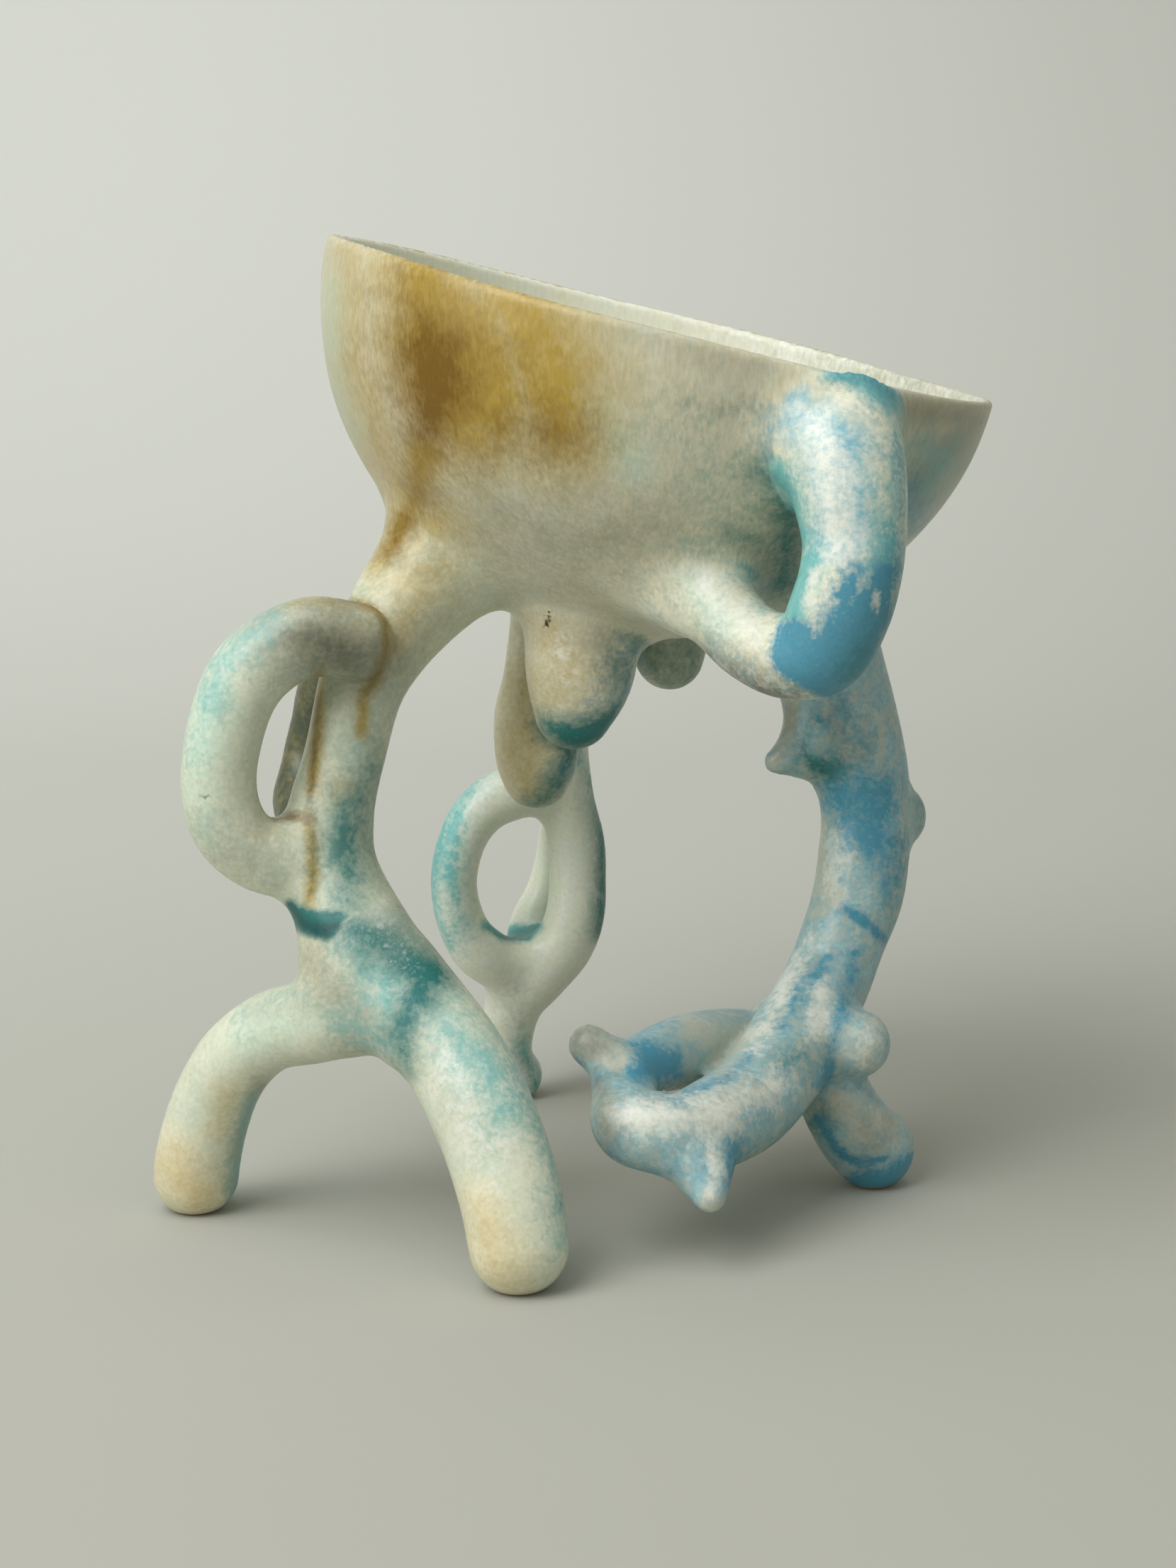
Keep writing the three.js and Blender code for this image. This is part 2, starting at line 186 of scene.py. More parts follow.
def outer_loop(leg):
    r = 8.3
    return [
        at(on_limb(leg, 2, -5.5, -15, 2.5), 1.05 * r),
        at(place(-61, -55, 137), 1.06 * r),
        at(place(-70.5, -57, 132.5), 1.06 * r),
        at(place(-77, -57, 123.5), 1.03 * r),
        at(place(-81, -56, 108), 1.0 * r),
        at(place(-80, -55, 97), 1.0 * r),
        at(place(-75, -54, 90), 0.98 * r),
        at(place(-68, -52, 87), 1.02 * r),
        at(on_limb(leg, 5.8), 0.9 * r),
    ]


def back_bar(leg):
    r = 6.2
    return [
        at(on_limb(leg, 2, 0, 3, 0), 1.0 * r),
        at(place(-59, -20, 123), 1.0 * r),
        at(place(-63, -15, 111), 0.98 * r),
        at(place(-65.5, -15, 101), 1.0 * r),
        at(place(-66, -23, 93), 1.05 * r),
        at(on_limb(leg, 5.6), 1.0 * r),
    ]


def rear_leg():
    r = 7.0
    return [
        at(on_bowl(97, 68, -BEDDING), 1.9 * r),
        at(place(-7, 37, 122), 1.2 * r),
        at(place(-6.5, 42, 108), 0.97 * r),
        at(place(-6.5, 45, 94), 0.95 * r),
        at(place(-5.3, 49, 80), 1.0 * r),
        at(place(-3, 51, 68.5), 1.04 * r),
        at(place(-2.5, 51, 59.5), 1.04 * r),
        at(place(-3.3, 50, 50), 1.07 * r),
        at(place(-6.5, 50, 42), 1.1 * r),
        at(place(-13, 51, 35), 1.2 * r),
        at(place(-18.7, 52, 27), 1.08 * r),
        at(place(-20.7, 53, 18), 0.95 * r),
        at(place(-20.7, 54, 11), 0.92 * r),
        foot_end(-19, 56, 1.0 * r),
    ]


def rear_ring(leg):
    r = 6.3
    return [
        at(on_limb(leg, 3.8), 0.8 * r),
        at(place(-16, 44, 84), 1.06 * r),
        at(place(-25.5, 42, 80.5), 1.05 * r),
        at(place(-31.5, 41, 72.5), 0.98 * r),
        at(place(-34, 41, 60.5), 0.94 * r),
        at(place(-31.5, 43, 48), 1.0 * r),
        at(place(-25.5, 46, 40), 1.1 * r),
        at(on_limb(leg, 9.2), 0.9 * r),
    ]


def rear_brace(leg):
    r = 5.3
    return [
        at(on_limb(leg, 3.7), 0.9 * r),
        at(place(-7, 63, 73), 0.98 * r),
        at(place(-8.5, 69, 62), 0.98 * r),
        at(place(-11, 68, 52), 1.02 * r),
        at(place(-15, 62, 43.5), 1.1 * r),
        at(on_limb(leg, 9.4), 1.0 * r),
    ]


def right_leg():
    r = 10.8
    return [
        at(on_bowl(0, 51, -BEDDING), 1.45 * r),
        at(place(56, 2, 125), 1.25 * r),
        at(place(61, 3, 110), 1.17 * r),
        at(place(65, 2, 98), 1.04 * r),
        at(place(66.5, 1, 86), 1.0 * r),
        at(place(66, -1, 78), 1.0 * r),
        at(place(64.5, -3, 68), 1.0 * r),
        at(place(61, -6, 58), 0.95 * r),
        at(place(56.5, -11, 48), 0.95 * r),
        at(place(48, -26, 37.7), 1.01 * r),
        at(place(37.5, -44, 29.5), 1.02 * r),
        at(place(28.5, -58, 28), 0.95 * r),
        at(place(19, -68.5, 28.6), 0.81 * r),
        at(place(9.2, -69.5, 31), 0.74 * r),
        at(place(7, -61, 35.5), 0.6 * r),
    ]


def curl(leg):
    r = 7.6
    return [
        at(on_limb(leg, 13.8), 0.82 * r),
        at(place(9.2, -54, 38.4), 0.84 * r),
        at(place(15.3, -44, 38.4), 0.98 * r),
        at(place(21.6, -33, 37.2), 1.12 * r),
        at(place(28.4, -21.5, 34.6), 1.24 * r),
        at(place(35, -12.5, 32.3), 1.26 * r),
        at(place(43, -8, 32.6), 1.15 * r),
        at(on_limb(leg, 8.2), 1.05 * r),
    ]


def right_foot(leg):
    r = 9.5
    return [
        at(on_limb(leg, 8.8, 1, 3, -1), 0.85 * r),
        at(place(59.5, -21, 20.7), 0.95 * r),
        at(place(64.5, -18, 12.5), 1.0 * r),
        foot_end(68, -16, 1.02 * r),
    ]


def handle():
    r, reach = 10.7, HANDLE_REACH
    return [
        at(on_bowl(-58, 9, -BEDDING), 1.15 * r),
        at(on_bowl(-59.5, 11, 0.08 * reach), 1.24 * r),
        at(on_bowl(-59, 16, 0.4 * reach), 1.13 * r),
        at(on_bowl(-58, 21, 0.64 * reach), 1.02 * r),
        at(on_bowl(-58, 25, 0.82 * reach), 1.0 * r),
        at(on_bowl(-58, 29, 0.93 * reach), 1.0 * r),
        at(on_bowl(-58, 34, reach), 0.96 * r),
        at(on_bowl(-60, 38, 0.9 * reach), 0.85 * r),
        at(on_bowl(-63, 41, 0.65 * reach), 0.78 * r),
        at(on_bowl(-66, 44, 0.24 * reach), 0.83 * r),
        at(on_bowl(-71, 50, -BEDDING), 1.12 * r),
    ]


def drip(root, root_radius, stops):
    """A drip hangs from the bowl's underside; each stop is a shift from its root and a radius."""
    hung = [at(root + Vector((x, y, -drop)), radius) for x, y, drop, radius in stops]
    return [at(root, root_radius), *hung]


def stub(root, root_radius, x, y, z, tip_radius):
    """A knob or thorn stands on a limb and points away from it."""
    tip = root + Vector((x, y, z))
    middle = root.lerp(tip, 0.55)
    return [
        at(root, root_radius),
        at(middle, (root_radius + tip_radius) / 2),
        at(tip, tip_radius),
    ]


def clay_members():
    """Every member under the bowl: its stations, and how wide the clay is smoothed where it
    starts, where it ends and in between."""
    left, rear, right = left_leg(), rear_leg(), right_leg()
    d = 12.6
    return {
        "left_leg": (left, (11, 8, 8)),
        "rear_leg": (rear, (12, 8, 8)),
        "right_leg": (right, (12, 8, 8)),
        "handle": (handle(), (12, 12, 6)),
        "left_side_foot": (side_foot(left), (14, 6, 6)),
        "left_outer_loop": (outer_loop(left), (2.5, 6, 3)),
        "left_back_bar": (back_bar(left), (6, 6, 4)),
        "rear_ring": (rear_ring(rear), (7, 7, 4)),
        "rear_brace": (rear_brace(rear), (6, 6, 3)),
        "right_foot": (right_foot(right), (3, 3, 3)),
        "right_curl": (curl(right), (4, 1.5, 1)),
        "centre_drip": (drip(on_bowl(-94, 76, -BEDDING), 1.1 * d, [
            (-1, -2, 9, 1.04 * d),
            (-1.5, -3, 16.5, 0.98 * d),
            (-3, -3, 25, 0.72 * d),
        ]), (9, 3, 4)),
        "long_drip": (drip(on_bowl(146, 80, -BEDDING), 0.62 * d, [
            (-4.5, 0, 14, 0.4 * d),
            (-4, 0, 24, 0.56 * d),
            (-3.5, 0, 33, 0.77 * d),
            (-3, 0, 41.5, 0.79 * d),
            (-3, 0, 46.5, 0.66 * d),
        ]), (7, 3, 4)),
        "small_drip": (drip(on_bowl(46, 64, -BEDDING), 0.72 * d, [
            (-2.3, 0, 9, 0.72 * d),
            (-3.8, 0, 17.6, 0.67 * d),
        ]), (8, 3, 4)),
        "inner_thorn": (stub(on_limb(right, 2.3), 11.0, -18, -12, -5, 3.0), (9, 9, 9)),
        "outer_knob": (stub(on_limb(right, 4), 9.2, 6.5, 5.5, -1, 8.4), (6, 6, 6)),
        "lower_knob": (stub(on_limb(right, 8.8), 9.6, 12.6, -3, -2.2, 8.1), (4, 4, 4)),
        "curl_knob": (stub(on_limb(right, 14, 1.8, 4, 3.5), 5.6, -8.4, 3.5, 5.6, 4.7), (5, 5, 5)),
        "curl_thorn": (stub(on_limb(right, 11.4), 9.2, 1.8, -15, -10.2, 3.7), (9, 9, 9)),
    }


def dense(stations, step=1.2):
    """The route of a limb as many close points with their radii."""
    length = sum(
        (Vector(a[:3]) - Vector(b[:3])).length for a, b in zip(stations, stations[1:])
    )
    count = max(8, int(length / step))
    last = len(stations) - 1
    return np.array([along(stations, last * k / count) for k in range(count + 1)])


MEMBERS = {name: (dense(rows), width) for name, (rows, width) in clay_members().items()}


# The shape of the clay as a depth below its surface

def bowl_frame(points):
    """Points in the bowl's own frame, its rim plane at height 0."""
    return (points - np.array(RIM_MIDDLE)) @ np.array(LEAN)


def to_world(directions):
    """Directions of the bowl's own frame as directions of the object's."""
    return directions @ np.array(LEAN).T


def ellipsoid(local, radius, depth):
    """Depth and outward direction of a half-round wall, straight-sided above the rim plane."""
    scale = np.array([1 / radius, 1 / radius, 1 / depth])
    below = np.minimum(local[:, 2], 0.0)
    p = np.column_stack([local[:, 0], local[:, 1], below])
    q = p * scale
    k0 = np.linalg.norm(q, axis=1)
    k1 = np.linalg.norm(q * scale, axis=1) + 1e-9
    direction = q * scale / k1[:, None]
    return k0 * (k0 - 1) / k1, direction


def soften_out(f, g, d, gd, width):
    """Joins two bodies with a smoothed hollow between them."""
    h = np.clip(0.5 + 0.5 * (f - d) / width, 0, 1)
    joined = f * (1 - h) + d * h - width * h * (1 - h)
    return joined, g * (1 - h)[:, None] + gd * h[:, None]


def soften_in(f, g, d, gd, width):
    """Keeps what lies in both bodies, with a rounded edge."""
    joined, slope = soften_out(-f, -g, -d, -gd, width)
    return -joined, -slope


def limb_field(points, route, reach=16.0):
    """Depth below a limb's surface, the way out of it, and how far along it each point is."""
    depth = np.full(len(points), reach)
    slope = np.zeros((len(points), 3))
    slope[:, 2] = 1.0
    run = np.zeros(len(points))
    low = (route[:, :3] - route[:, 3:]).min(0) - reach
    high = (route[:, :3] + route[:, 3:]).max(0) + reach
    near = np.flatnonzero(((points > low) & (points < high)).all(1))
    step = np.diff(route, axis=0)
    length = np.concatenate([[0], np.cumsum(np.linalg.norm(step[:, :3], axis=1))])
    for part in np.array_split(near, max(1, len(near) // 6000)):
        p = points[part]
        square = (
            (p**2).sum(1)[:, None] - 2 * p @ route[:, :3].T + (route[:, :3] ** 2).sum(1)[None, :]
        )
        best = (np.sqrt(np.maximum(square, 0)) - route[None, :, 3]).argmin(1)
        gap = np.full(len(part), 1e9)
        for side in (-1, 0):
            k = np.clip(best + side, 0, len(step) - 1)
            a, d = route[k], step[k]
            t = ((p - a[:, :3]) * d[:, :3]).sum(1) / ((d[:, :3] ** 2).sum(1) + 1e-12)
            t = np.clip(t, 0, 1)
            away = p - a[:, :3] - d[:, :3] * t[:, None]
            distance = np.linalg.norm(away, axis=1)
            this = distance - a[:, 3] - d[:, 3] * t
            better = this < gap
            gap = np.where(better, this, gap)
            found = part[better]
            slope[found] = away[better] / (distance[better][:, None] + 1e-9)
            run[found] = (length[k] + t * (length[k + 1] - length[k]))[better]
        depth[part] = np.minimum(gap, reach)
    return depth, slope, np.minimum(run, length[-1] - run), run < length[-1] / 2


def rim_wave(local):
    """The hand-cut rim rises and falls by half a millimetre as it goes round."""
    turn = np.arctan2(local[:, 1], local[:, 0])
    return -0.2 + 0.3 * np.sin(2 * turn + 0.8) + 0.2 * np.sin(5 * turn + 2.1)


def hand_marks(points):
    """Slow, shallow unevenness, as fingers leave it in clay."""
    x, y, z = points.T
    slow = np.sin(x / 7.1 + 1.3 * np.sin(y / 9.7)) * np.sin(y / 6.3 + 0.7 + z / 12.9)
    quick = np.sin(z / 4.3 + 1.1 * np.sin(x / 5.9 + 2.0)) * np.sin((x + y) / 4.9 + 0.4)
    return 0.16 * slow + 0.07 * quick


def member_depths(points):
    """The depth of every point below the surface of every member, the bowl first."""
    outside, out = ellipsoid(bowl_frame(points), BOWL_RADIUS, BOWL_DEPTH)
    rows = [(outside, to_world(out), None, None)]
    return rows + [limb_field(points, MEMBERS[name][0]) for name in MEMBERS]


def clay_field(points, full=False):
    """Depth below the finished surface and the way out of it; in full, also the depth and way
    out of each member, and whether the point is on the bowl's inside."""
    rows = member_depths(points)
    f, g = rows[0][:2]
    for (depth, slope, to_end, at_start), (_, widths) in zip(rows[1:], MEMBERS.values()):
        root, tip, middle = widths
        end = np.where(at_start, root, tip)
        width = middle + (end - middle) * np.exp(-((to_end / 24) ** 2))
        width *= np.clip((1 - (g * slope).sum(1)) / 0.7, 0.1, 1)
        f, g = soften_out(f, g, depth, slope, width)
    f = f + hand_marks(points)
    local = bowl_frame(points)
    up = np.tile(to_world(np.array([[0.0, 0.0, 1.0]])), (len(points), 1))
    above = local[:, 2] - rim_wave(local)
    outside = rows[0][0]
    capped, cap_slope = soften_in(f, g, above, up, LIP_ROUND)
    reach_up = (above > -4) & (outside < 2.5)
    f = np.where(reach_up, capped, f)
    g = np.where(reach_up[:, None], cap_slope, g)
    hollow, inward = ellipsoid(local, BOWL_RADIUS - LIP_WALL, BOWL_DEPTH - BOWL_WALL)
    hollow = hollow + 0.4 * hand_marks(points[:, [2, 0, 1]])
    f, g = soften_in(f, g, -hollow, -to_world(inward), LIP_ROUND)
    down = np.tile(np.array([0.0, 0.0, -1.0]), (len(points), 1))
    f, g = soften_in(f, g, -points[:, 2], down, FOOT_ROUND)
    g = g / (np.linalg.norm(g, axis=1)[:, None] + 1e-9)
    if not full:
        return f, g
    depths = np.array([row[0] for row in rows])
    slopes = [row[1] for row in rows]
    inside = hollow < 1.2
    return f, g, depths, slopes, inside


# The skin

def rough_limb(bm, route):
    """Overlapping balls of clay along a route."""
    for x, y, z, radius in [*route[::3], route[-1]]:
        ball = Matrix.Translation(Vector((x, y, z)) * MM)
        bmesh.ops.create_icosphere(bm, subdivisions=2, radius=radius * MM, matrix=ball)


def turned_body(bm, radius, depth, top):
    """A half-round body spun about the bowl's axis, closed at a height above its rim plane."""
    steps = 16
    outline = [(0, -depth)]
    for k in range(1, steps + 1):
        turn = k / steps * math.pi / 2
        outline.append((radius * math.sin(turn), -depth * math.cos(turn)))
    outline += [(radius, top), (0, top)]
    verts = [bm.verts.new((x * MM, 0, z * MM)) for x, z in outline]
    edges = [bm.edges.new(pair) for pair in zip(verts, verts[1:])]
    bmesh.ops.spin(
        bm, geom=verts + edges, cent=(0, 0, 0), axis=(0, 0, 1), angle=2 * math.pi,
        steps=96, use_merge=True, use_duplicate=False,
    )
    bmesh.ops.remove_doubles(bm, verts=bm.verts, dist=1e-6)
    bmesh.ops.recalc_face_normals(bm, faces=bm.faces)
    stand = Matrix.Translation(RIM_MIDDLE * MM) @ LEAN.to_4x4()
    bmesh.ops.transform(bm, matrix=stand, verts=bm.verts)


def object_of(bm, name):
    """Puts a finished bmesh in the scene."""
    mesh = bpy.data.meshes.new(name)
    bm.to_mesh(mesh)
    bm.free()
    piece = bpy.data.objects.new(name, mesh)
    bpy.context.scene.collection.objects.link(piece)
    return piece


def remesh(piece, voxel):
    """Turns overlapping shapes into one even skin."""
    step = piece.modifiers.new("even_skin", "REMESH")
    step.mode = "VOXEL"
    step.voxel_size = voxel * MM


def rough_clay():
    """All members over a full bowl as one even skin, with the bowl's inside cut away."""
    bm = bmesh.new()
    turned_body(bm, BOWL_RADIUS, BOWL_DEPTH, -0.4)
    for route, _ in MEMBERS.values():
        rough_limb(bm, route)
    lump = object_of(bm, "clay_lump")
    bm = bmesh.new()
    turned_body(bm, BOWL_RADIUS - LIP_WALL - 0.8, BOWL_DEPTH - BOWL_WALL - 0.8, 40)
    hollow = object_of(bm, "hollow_tool")
    remesh(lump, ROUGH_SKIN)
    cut = lump.modifiers.new("hollow", "BOOLEAN")
    cut.operation = "DIFFERENCE"
    cut.object = hollow
    cut.solver = "EXACT"
    remesh(lump, EVEN_SKIN)
    graph = bpy.context.evaluated_depsgraph_get()
    mesh = bpy.data.meshes.new_from_object(lump.evaluated_get(graph))
    for tool in (lump, hollow):
        bpy.data.objects.remove(tool)
    return mesh


def coordinates(mesh):
    """The points of a mesh in millimetres."""
    points = np.empty(len(mesh.vertices) * 3)
    mesh.vertices.foreach_get("co", points)
    return points.reshape(-1, 3) / MM


def edge_pairs(mesh):
    """The two end points of every edge."""
    edges = np.empty(len(mesh.edges) * 2, int)
    mesh.edges.foreach_get("vertices", edges)
    return edges.reshape(-1, 2).T


def relax(pairs, points, normals, rounds):
    """Evens the skin out along its own surface."""
    a, b = np.concatenate(pairs), np.concatenate(pairs[::-1])
    count = np.maximum(np.bincount(a, minlength=len(points)), 1)
    for _ in range(rounds):
        mean = np.column_stack([
            np.bincount(a, weights=points[b, axis], minlength=len(points)) for axis in range(3)
        ])
        shift = mean / count[:, None] - points
        shift -= normals * (shift * normals).sum(1)[:, None]
        points = points + 0.5 * shift
    return points


def smooth_skin(mesh):
    """Moves the rough skin onto the finished surface of the clay."""
    points = coordinates(mesh)
    pairs = edge_pairs(mesh)
    for rounds in (3, 3, 2, 0):
        f, g = clay_field(points)
        points = points - g * np.clip(f, -3, 3)[:, None]
        points = relax(pairs, points, g, rounds)
    return points


def sponged(pairs, points):
    """Rounds tight creases as a wet sponge does, but spares the lip and the feet."""
    above = bowl_frame(points)[:, 2] - rim_wave(bowl_frame(points))
    free = np.clip((-above - 3) / 4, 0, 1) * np.clip((points[:, 2] - 1.5) / 2, 0, 1)
    a, b = np.concatenate(pairs), np.concatenate(pairs[::-1])
    count = np.maximum(np.bincount(a, minlength=len(points)), 1)[:, None]
    for turn in range(16):
        share = 0.5 if turn % 2 == 0 else -0.51
        mean = np.column_stack([
            np.bincount(a, weights=points[b, axis], minlength=len(points)) for axis in range(3)
        ])
        points = points + share * free[:, None] * (mean / count - points)
    return points


def eased(pairs, points, normals):
    """Fills the sharp hollows of the arch that the side foot makes with its leg."""
    a, b = np.concatenate(pairs), np.concatenate(pairs[::-1])
    count = np.maximum(np.bincount(a, minlength=len(points)), 1)

    def mean_of(values):
        return np.bincount(a, weights=values[b], minlength=len(values)) / count

    def middle_of(places):
        return np.column_stack([mean_of(places[:, axis]) for axis in range(3)])

    hollow = ((middle_of(points) - points) * normals).sum(1)
    filled = np.clip((hollow - 0.01) / 0.05, 0, 1)
    for _ in range(4):
        wide = filled.copy()
        np.maximum.at(wide, a, filled[b])
        filled = wide
    for _ in range(4):
        filled = mean_of(filled)
    arch = np.array(place(-58, -52, 50))
    filled *= np.clip((34 - np.linalg.norm(points - arch, axis=1)) / 8, 0, 1)
    for _ in range(60):
        points = points + 0.5 * filled[:, None] * (middle_of(points) - points)
    return points


# The skin is parted where one member of clay meets the next

def face_rows(mesh):
    """The vertices of each face, the faces beside each edge, and the middle of each face."""
    count = len(mesh.polygons)
    sizes = np.empty(count, int)
    mesh.polygons.foreach_get("loop_total", sizes)
    verts = np.empty(len(mesh.loops), int)
    mesh.loops.foreach_get("vertex_index", verts)
    edges = np.empty(len(mesh.loops), int)
    mesh.loops.foreach_get("edge_index", edges)
    faces = np.repeat(np.arange(count), sizes)
    order = np.argsort(edges, kind="stable")
    beside = faces[order].reshape(-1, 2)
    return sizes, verts, faces, beside


def islands(count, a, b):
    """A number for each connected group of faces."""
    group = np.arange(count)
    while True:
        before = group.copy()
        low = np.minimum(group[a], group[b])
        np.minimum.at(group, a, low)
        np.minimum.at(group, b, low)
        group = group[group]
        if (group == before).all():
            return group


def without_specks(owner, beside):
    """Gives small stray groups of faces to the member around them."""
    for _ in range(4):
        a, b = beside.T
        same = owner[a] == owner[b]
        group = islands(len(owner), a[same], b[same])
        size = np.bincount(group, minlength=len(owner))
        largest = np.zeros(owner.max() + 1, int)
        np.maximum.at(largest, owner, size[group])
        stray = size[group] < largest[owner]
        if not stray.any():
            break
        for here, there in ((a, b), (b, a)):
            take = stray[here] & ~stray[there]
            owner[here[take]] = owner[there[take]]
    return owner


def owners(mesh, points):
    """Which member each face belongs to, the points with those on a border moved onto an even
    line, and the member that carries the other at each border point."""
    sizes, verts, faces, beside = face_rows(mesh)
    middle = np.column_stack([np.bincount(faces, points[verts, k]) for k in range(3)])
    _, _, depths, _, inside = clay_field(middle / sizes[:, None], full=True)
    owner = depths.argmin(0)
    owner[inside] = 0
    owner = without_specks(owner, beside)
    pairs = edge_pairs(mesh)
    border = np.flatnonzero(owner[beside[:, 0]] != owner[beside[:, 1]])
    ends = np.column_stack(pairs)[border]
    touching = np.sort(owner[beside[border]], axis=1)
    low = np.full(len(points), NO_MEMBER)
    high = np.full(len(points), -1)
    for column in (0, 1):
        np.minimum.at(low, ends[:, column], touching[:, 0])
        np.maximum.at(high, ends[:, column], touching[:, 1])
    line = np.flatnonzero(high >= 0)
    for _ in range(5):
        f, g, depths, slopes, inside = clay_field(points[line], full=True)
        rows = np.arange(len(line))
        off = depths[low[line], rows] - depths[high[line], rows]
        slopes = np.array(slopes)
        way = slopes[low[line], rows] - slopes[high[line], rows]
        way -= g * (way * g).sum(1)[:, None]
        step = off / ((way**2).sum(1) + 0.05)
        step[inside] = 0
        across = way * np.clip(step, -0.4, 0.4)[:, None]
        points[line] -= across + g * np.clip(f, -1, 1)[:, None]
        mean = np.zeros_like(points)
        count = np.zeros(len(points))
        for here, there in (ends.T, ends.T[::-1]):
            np.add.at(mean, here, points[there])
            np.add.at(count, here, 1)
        mean = mean[line] / count[line][:, None] - points[line]
        mean -= g * (mean * g).sum(1)[:, None]
        points[line] += 0.4 * mean
    f, g = clay_field(points[line])
    points[line] -= g * np.clip(f, -1, 1)[:, None]
    return owner, points, low


def depth_of(index, points):
    """The depth below the surface of one member, and the way out of it."""
    if index == 0:
        outside, out = ellipsoid(bowl_frame(points), BOWL_RADIUS, BOWL_DEPTH)
        return outside, to_world(out)
    return limb_field(points, MEMBERS[list(MEMBERS)[index - 1]][0])[:2]


def close_joints(piece, index):
    """Closes a member where it was luted to its neighbours: its end follows their surface."""
    bm = bmesh.new()
    bm.from_mesh(piece.data)
    under = bm.verts.layers.int["under"]
    open_edges = [edge for edge in bm.edges if edge.is_boundary]
    if open_edges:
        filled = bmesh.ops.holes_fill(bm, edges=open_edges, sides=0)["faces"]
        for face in filled:
            beneath = [vert[under] for vert in face.verts if vert[under] != NO_MEMBER]
            carrier = max(set(beneath), key=beneath.count)
            middle = Matrix.Translation(-face.calc_center_median())
            bed = []
            for ring in range(5, 1, -1):
                face = bmesh.ops.extrude_discrete_faces(bm, faces=[face])["faces"][0]
                inwards = Vector.Fill(3, (ring - 1) / ring)
                bmesh.ops.scale(bm, vec=inwards, space=middle, verts=face.verts)
                bed += face.verts
            bed += bmesh.ops.poke(bm, faces=[face])["verts"]
            at_bed = np.array([vert.co for vert in bed]) / MM
            gap = -HALF_SLIP if carrier == index else HALF_SLIP
            for _ in range(4):
                depth, way = depth_of(carrier, at_bed)
                at_bed -= way * np.clip(depth - gap, -4, 4)[:, None]
            for vert, spot in zip(bed, at_bed):
                vert.co = Vector(spot) * MM
    bmesh.ops.recalc_face_normals(bm, faces=bm.faces)
    bm.to_mesh(piece.data)
    bm.free()


# The glaze, with painted shade and painted highlights among its strokes, is laid on in the front
# view, in picture points from the left and from the top

EYE = Vector((0, -700, 228)) + SHIFT
EYE_DROP = math.radians(10.834)
FOCAL = 4219.0
PICTURE = (1659.0, 2212.0)

GLAZES = {
    # name: colour, how far it breaks into mottles, how soft they are, how much it hides, and
    # which of three mottle patterns it follows
    # grey-beige glaze, also laid as painted shade on the bowl's underside and on limbs under the
    # bowl
    "grey": ("#7C7A6A", 0.12, 1.0, 0.9, 0),
    "mint": ("#ABD8CA", 0.16, 1.0, 0.9, 0),
    "peach": ("#E4CD9C", 0.1, 1.0, 0.9, 1),
    "stain": ("#AA8E34", 0.2, 1.0, 0.97, 1),
    "brown": ("#705200", 0.3, 0.85, 1.0, 2),
    # painted shade: a dark tone laid under the bowl and the handle, in creases and crotches, and
    # on limb sides turned from the light
    "smoke": ("#4E5044", 0.14, 1.0, 0.9, 0),
    "sky": ("#76AFBD", 0.4, 0.85, 0.95, 1),
    "aqua": ("#6CB2B0", 0.4, 0.85, 0.95, 1),
    "blue": ("#448CA3", 0.42, 0.85, 0.97, 0),
    "teal": ("#1A6C69", 0.3, 0.9, 0.98, 2),
    "deep": ("#0F4A48", 0.2, 0.9, 0.95, 2),
    "ash": ("#BABCAA", 0.7, 0.9, 0.9, 1),
    "white": ("#DDDFD3", 0.75, 0.9, 0.92, 2),
    # painted shade laid over the dry mottles of the right group: the curl's inner bend, the thorn,
    # the leg's top and the foot
    "wash": ("#4A4C40", 0.14, 1.0, 0.9, 0),
    "rust": ("#4A2C10", 0.6, 0.4, 1.0, 1),
}
CLAY = "#E3E0C6"
BARE_FOOT = "#C9B79C"
# Where a runny glaze lies thick, it washes away the other runny ones and the dry ones.
RUNNY = ("aqua", "blue", "teal")
DRY = ("ash", "white")
# The members that share their ground and their strokes.
GROUPS = {
    "bowl": ["bowl"],
    "handle": ["handle"],
    "drips": ["centre_drip", "long_drip", "small_drip"],
    "left": ["left_leg", "left_side_foot", "left_outer_loop"],
    "bar": ["left_back_bar"],
    "rear": ["rear_leg", "rear_ring", "rear_brace"],
    "right": [
        "right_leg", "right_curl", "right_foot", "inner_thorn", "outer_knob", "lower_knob",
        "curl_knob", "curl_thorn",
    ],
}
# How strongly each glaze lies on a group: on the side seen from the front, and on the others.
GROUND = {
    "bowl": {"grey": (0.36, 0.24), "stain": (0.17, 0.3), "mint": (0.1, 0.35), "aqua": (0, 0.25)},
    "handle": {
        "grey": (0.2, 0.1), "mint": (0.1, 0.3), "peach": (0.12, 0), "aqua": (0, 0.6),
        "sky": (0.2, 0), "blue": (0, 0.3), "white": (0.26, 0.5),
    },
    "drips": {"grey": (0, 0.3), "stain": (0.14, 0.35), "teal": (0, 0.25)},
    "left": {
        "grey": (0.24, 0.15), "mint": (0.24, 0.4), "aqua": (0, 0.3), "teal": (0, 0.15),
        "stain": (0.08, 0.1),
    },
    # the dark tone here is painted shade on the back bar, which stands behind the loop
    "bar": {"stain": (0.7, 0.5), "brown": (0.7, 0.2), "smoke": (0.1, 0.2), "deep": (0.6, 0.1)},
    "rear": {
        "grey": (0, 0.1), "mint": (0.22, 0.45), "aqua": (0.02, 0.3), "teal": (0, 0.15),
        # the whiter front of the rear members is partly their pale glaze, partly painted light on
        # fronts the bowl keeps in shade
        "white": (0.5, 0.2),
    },
    "right": {
        # a little painted shade lies over the whole right group
        "smoke": (0.1, 0.1), "sky": (0.85, 0.4), "aqua": (0.1, 0.4), "blue": (0.3, 0.5),
        "ash": (0.44, 0.4), "white": (0.12, 0.25),
    },
}
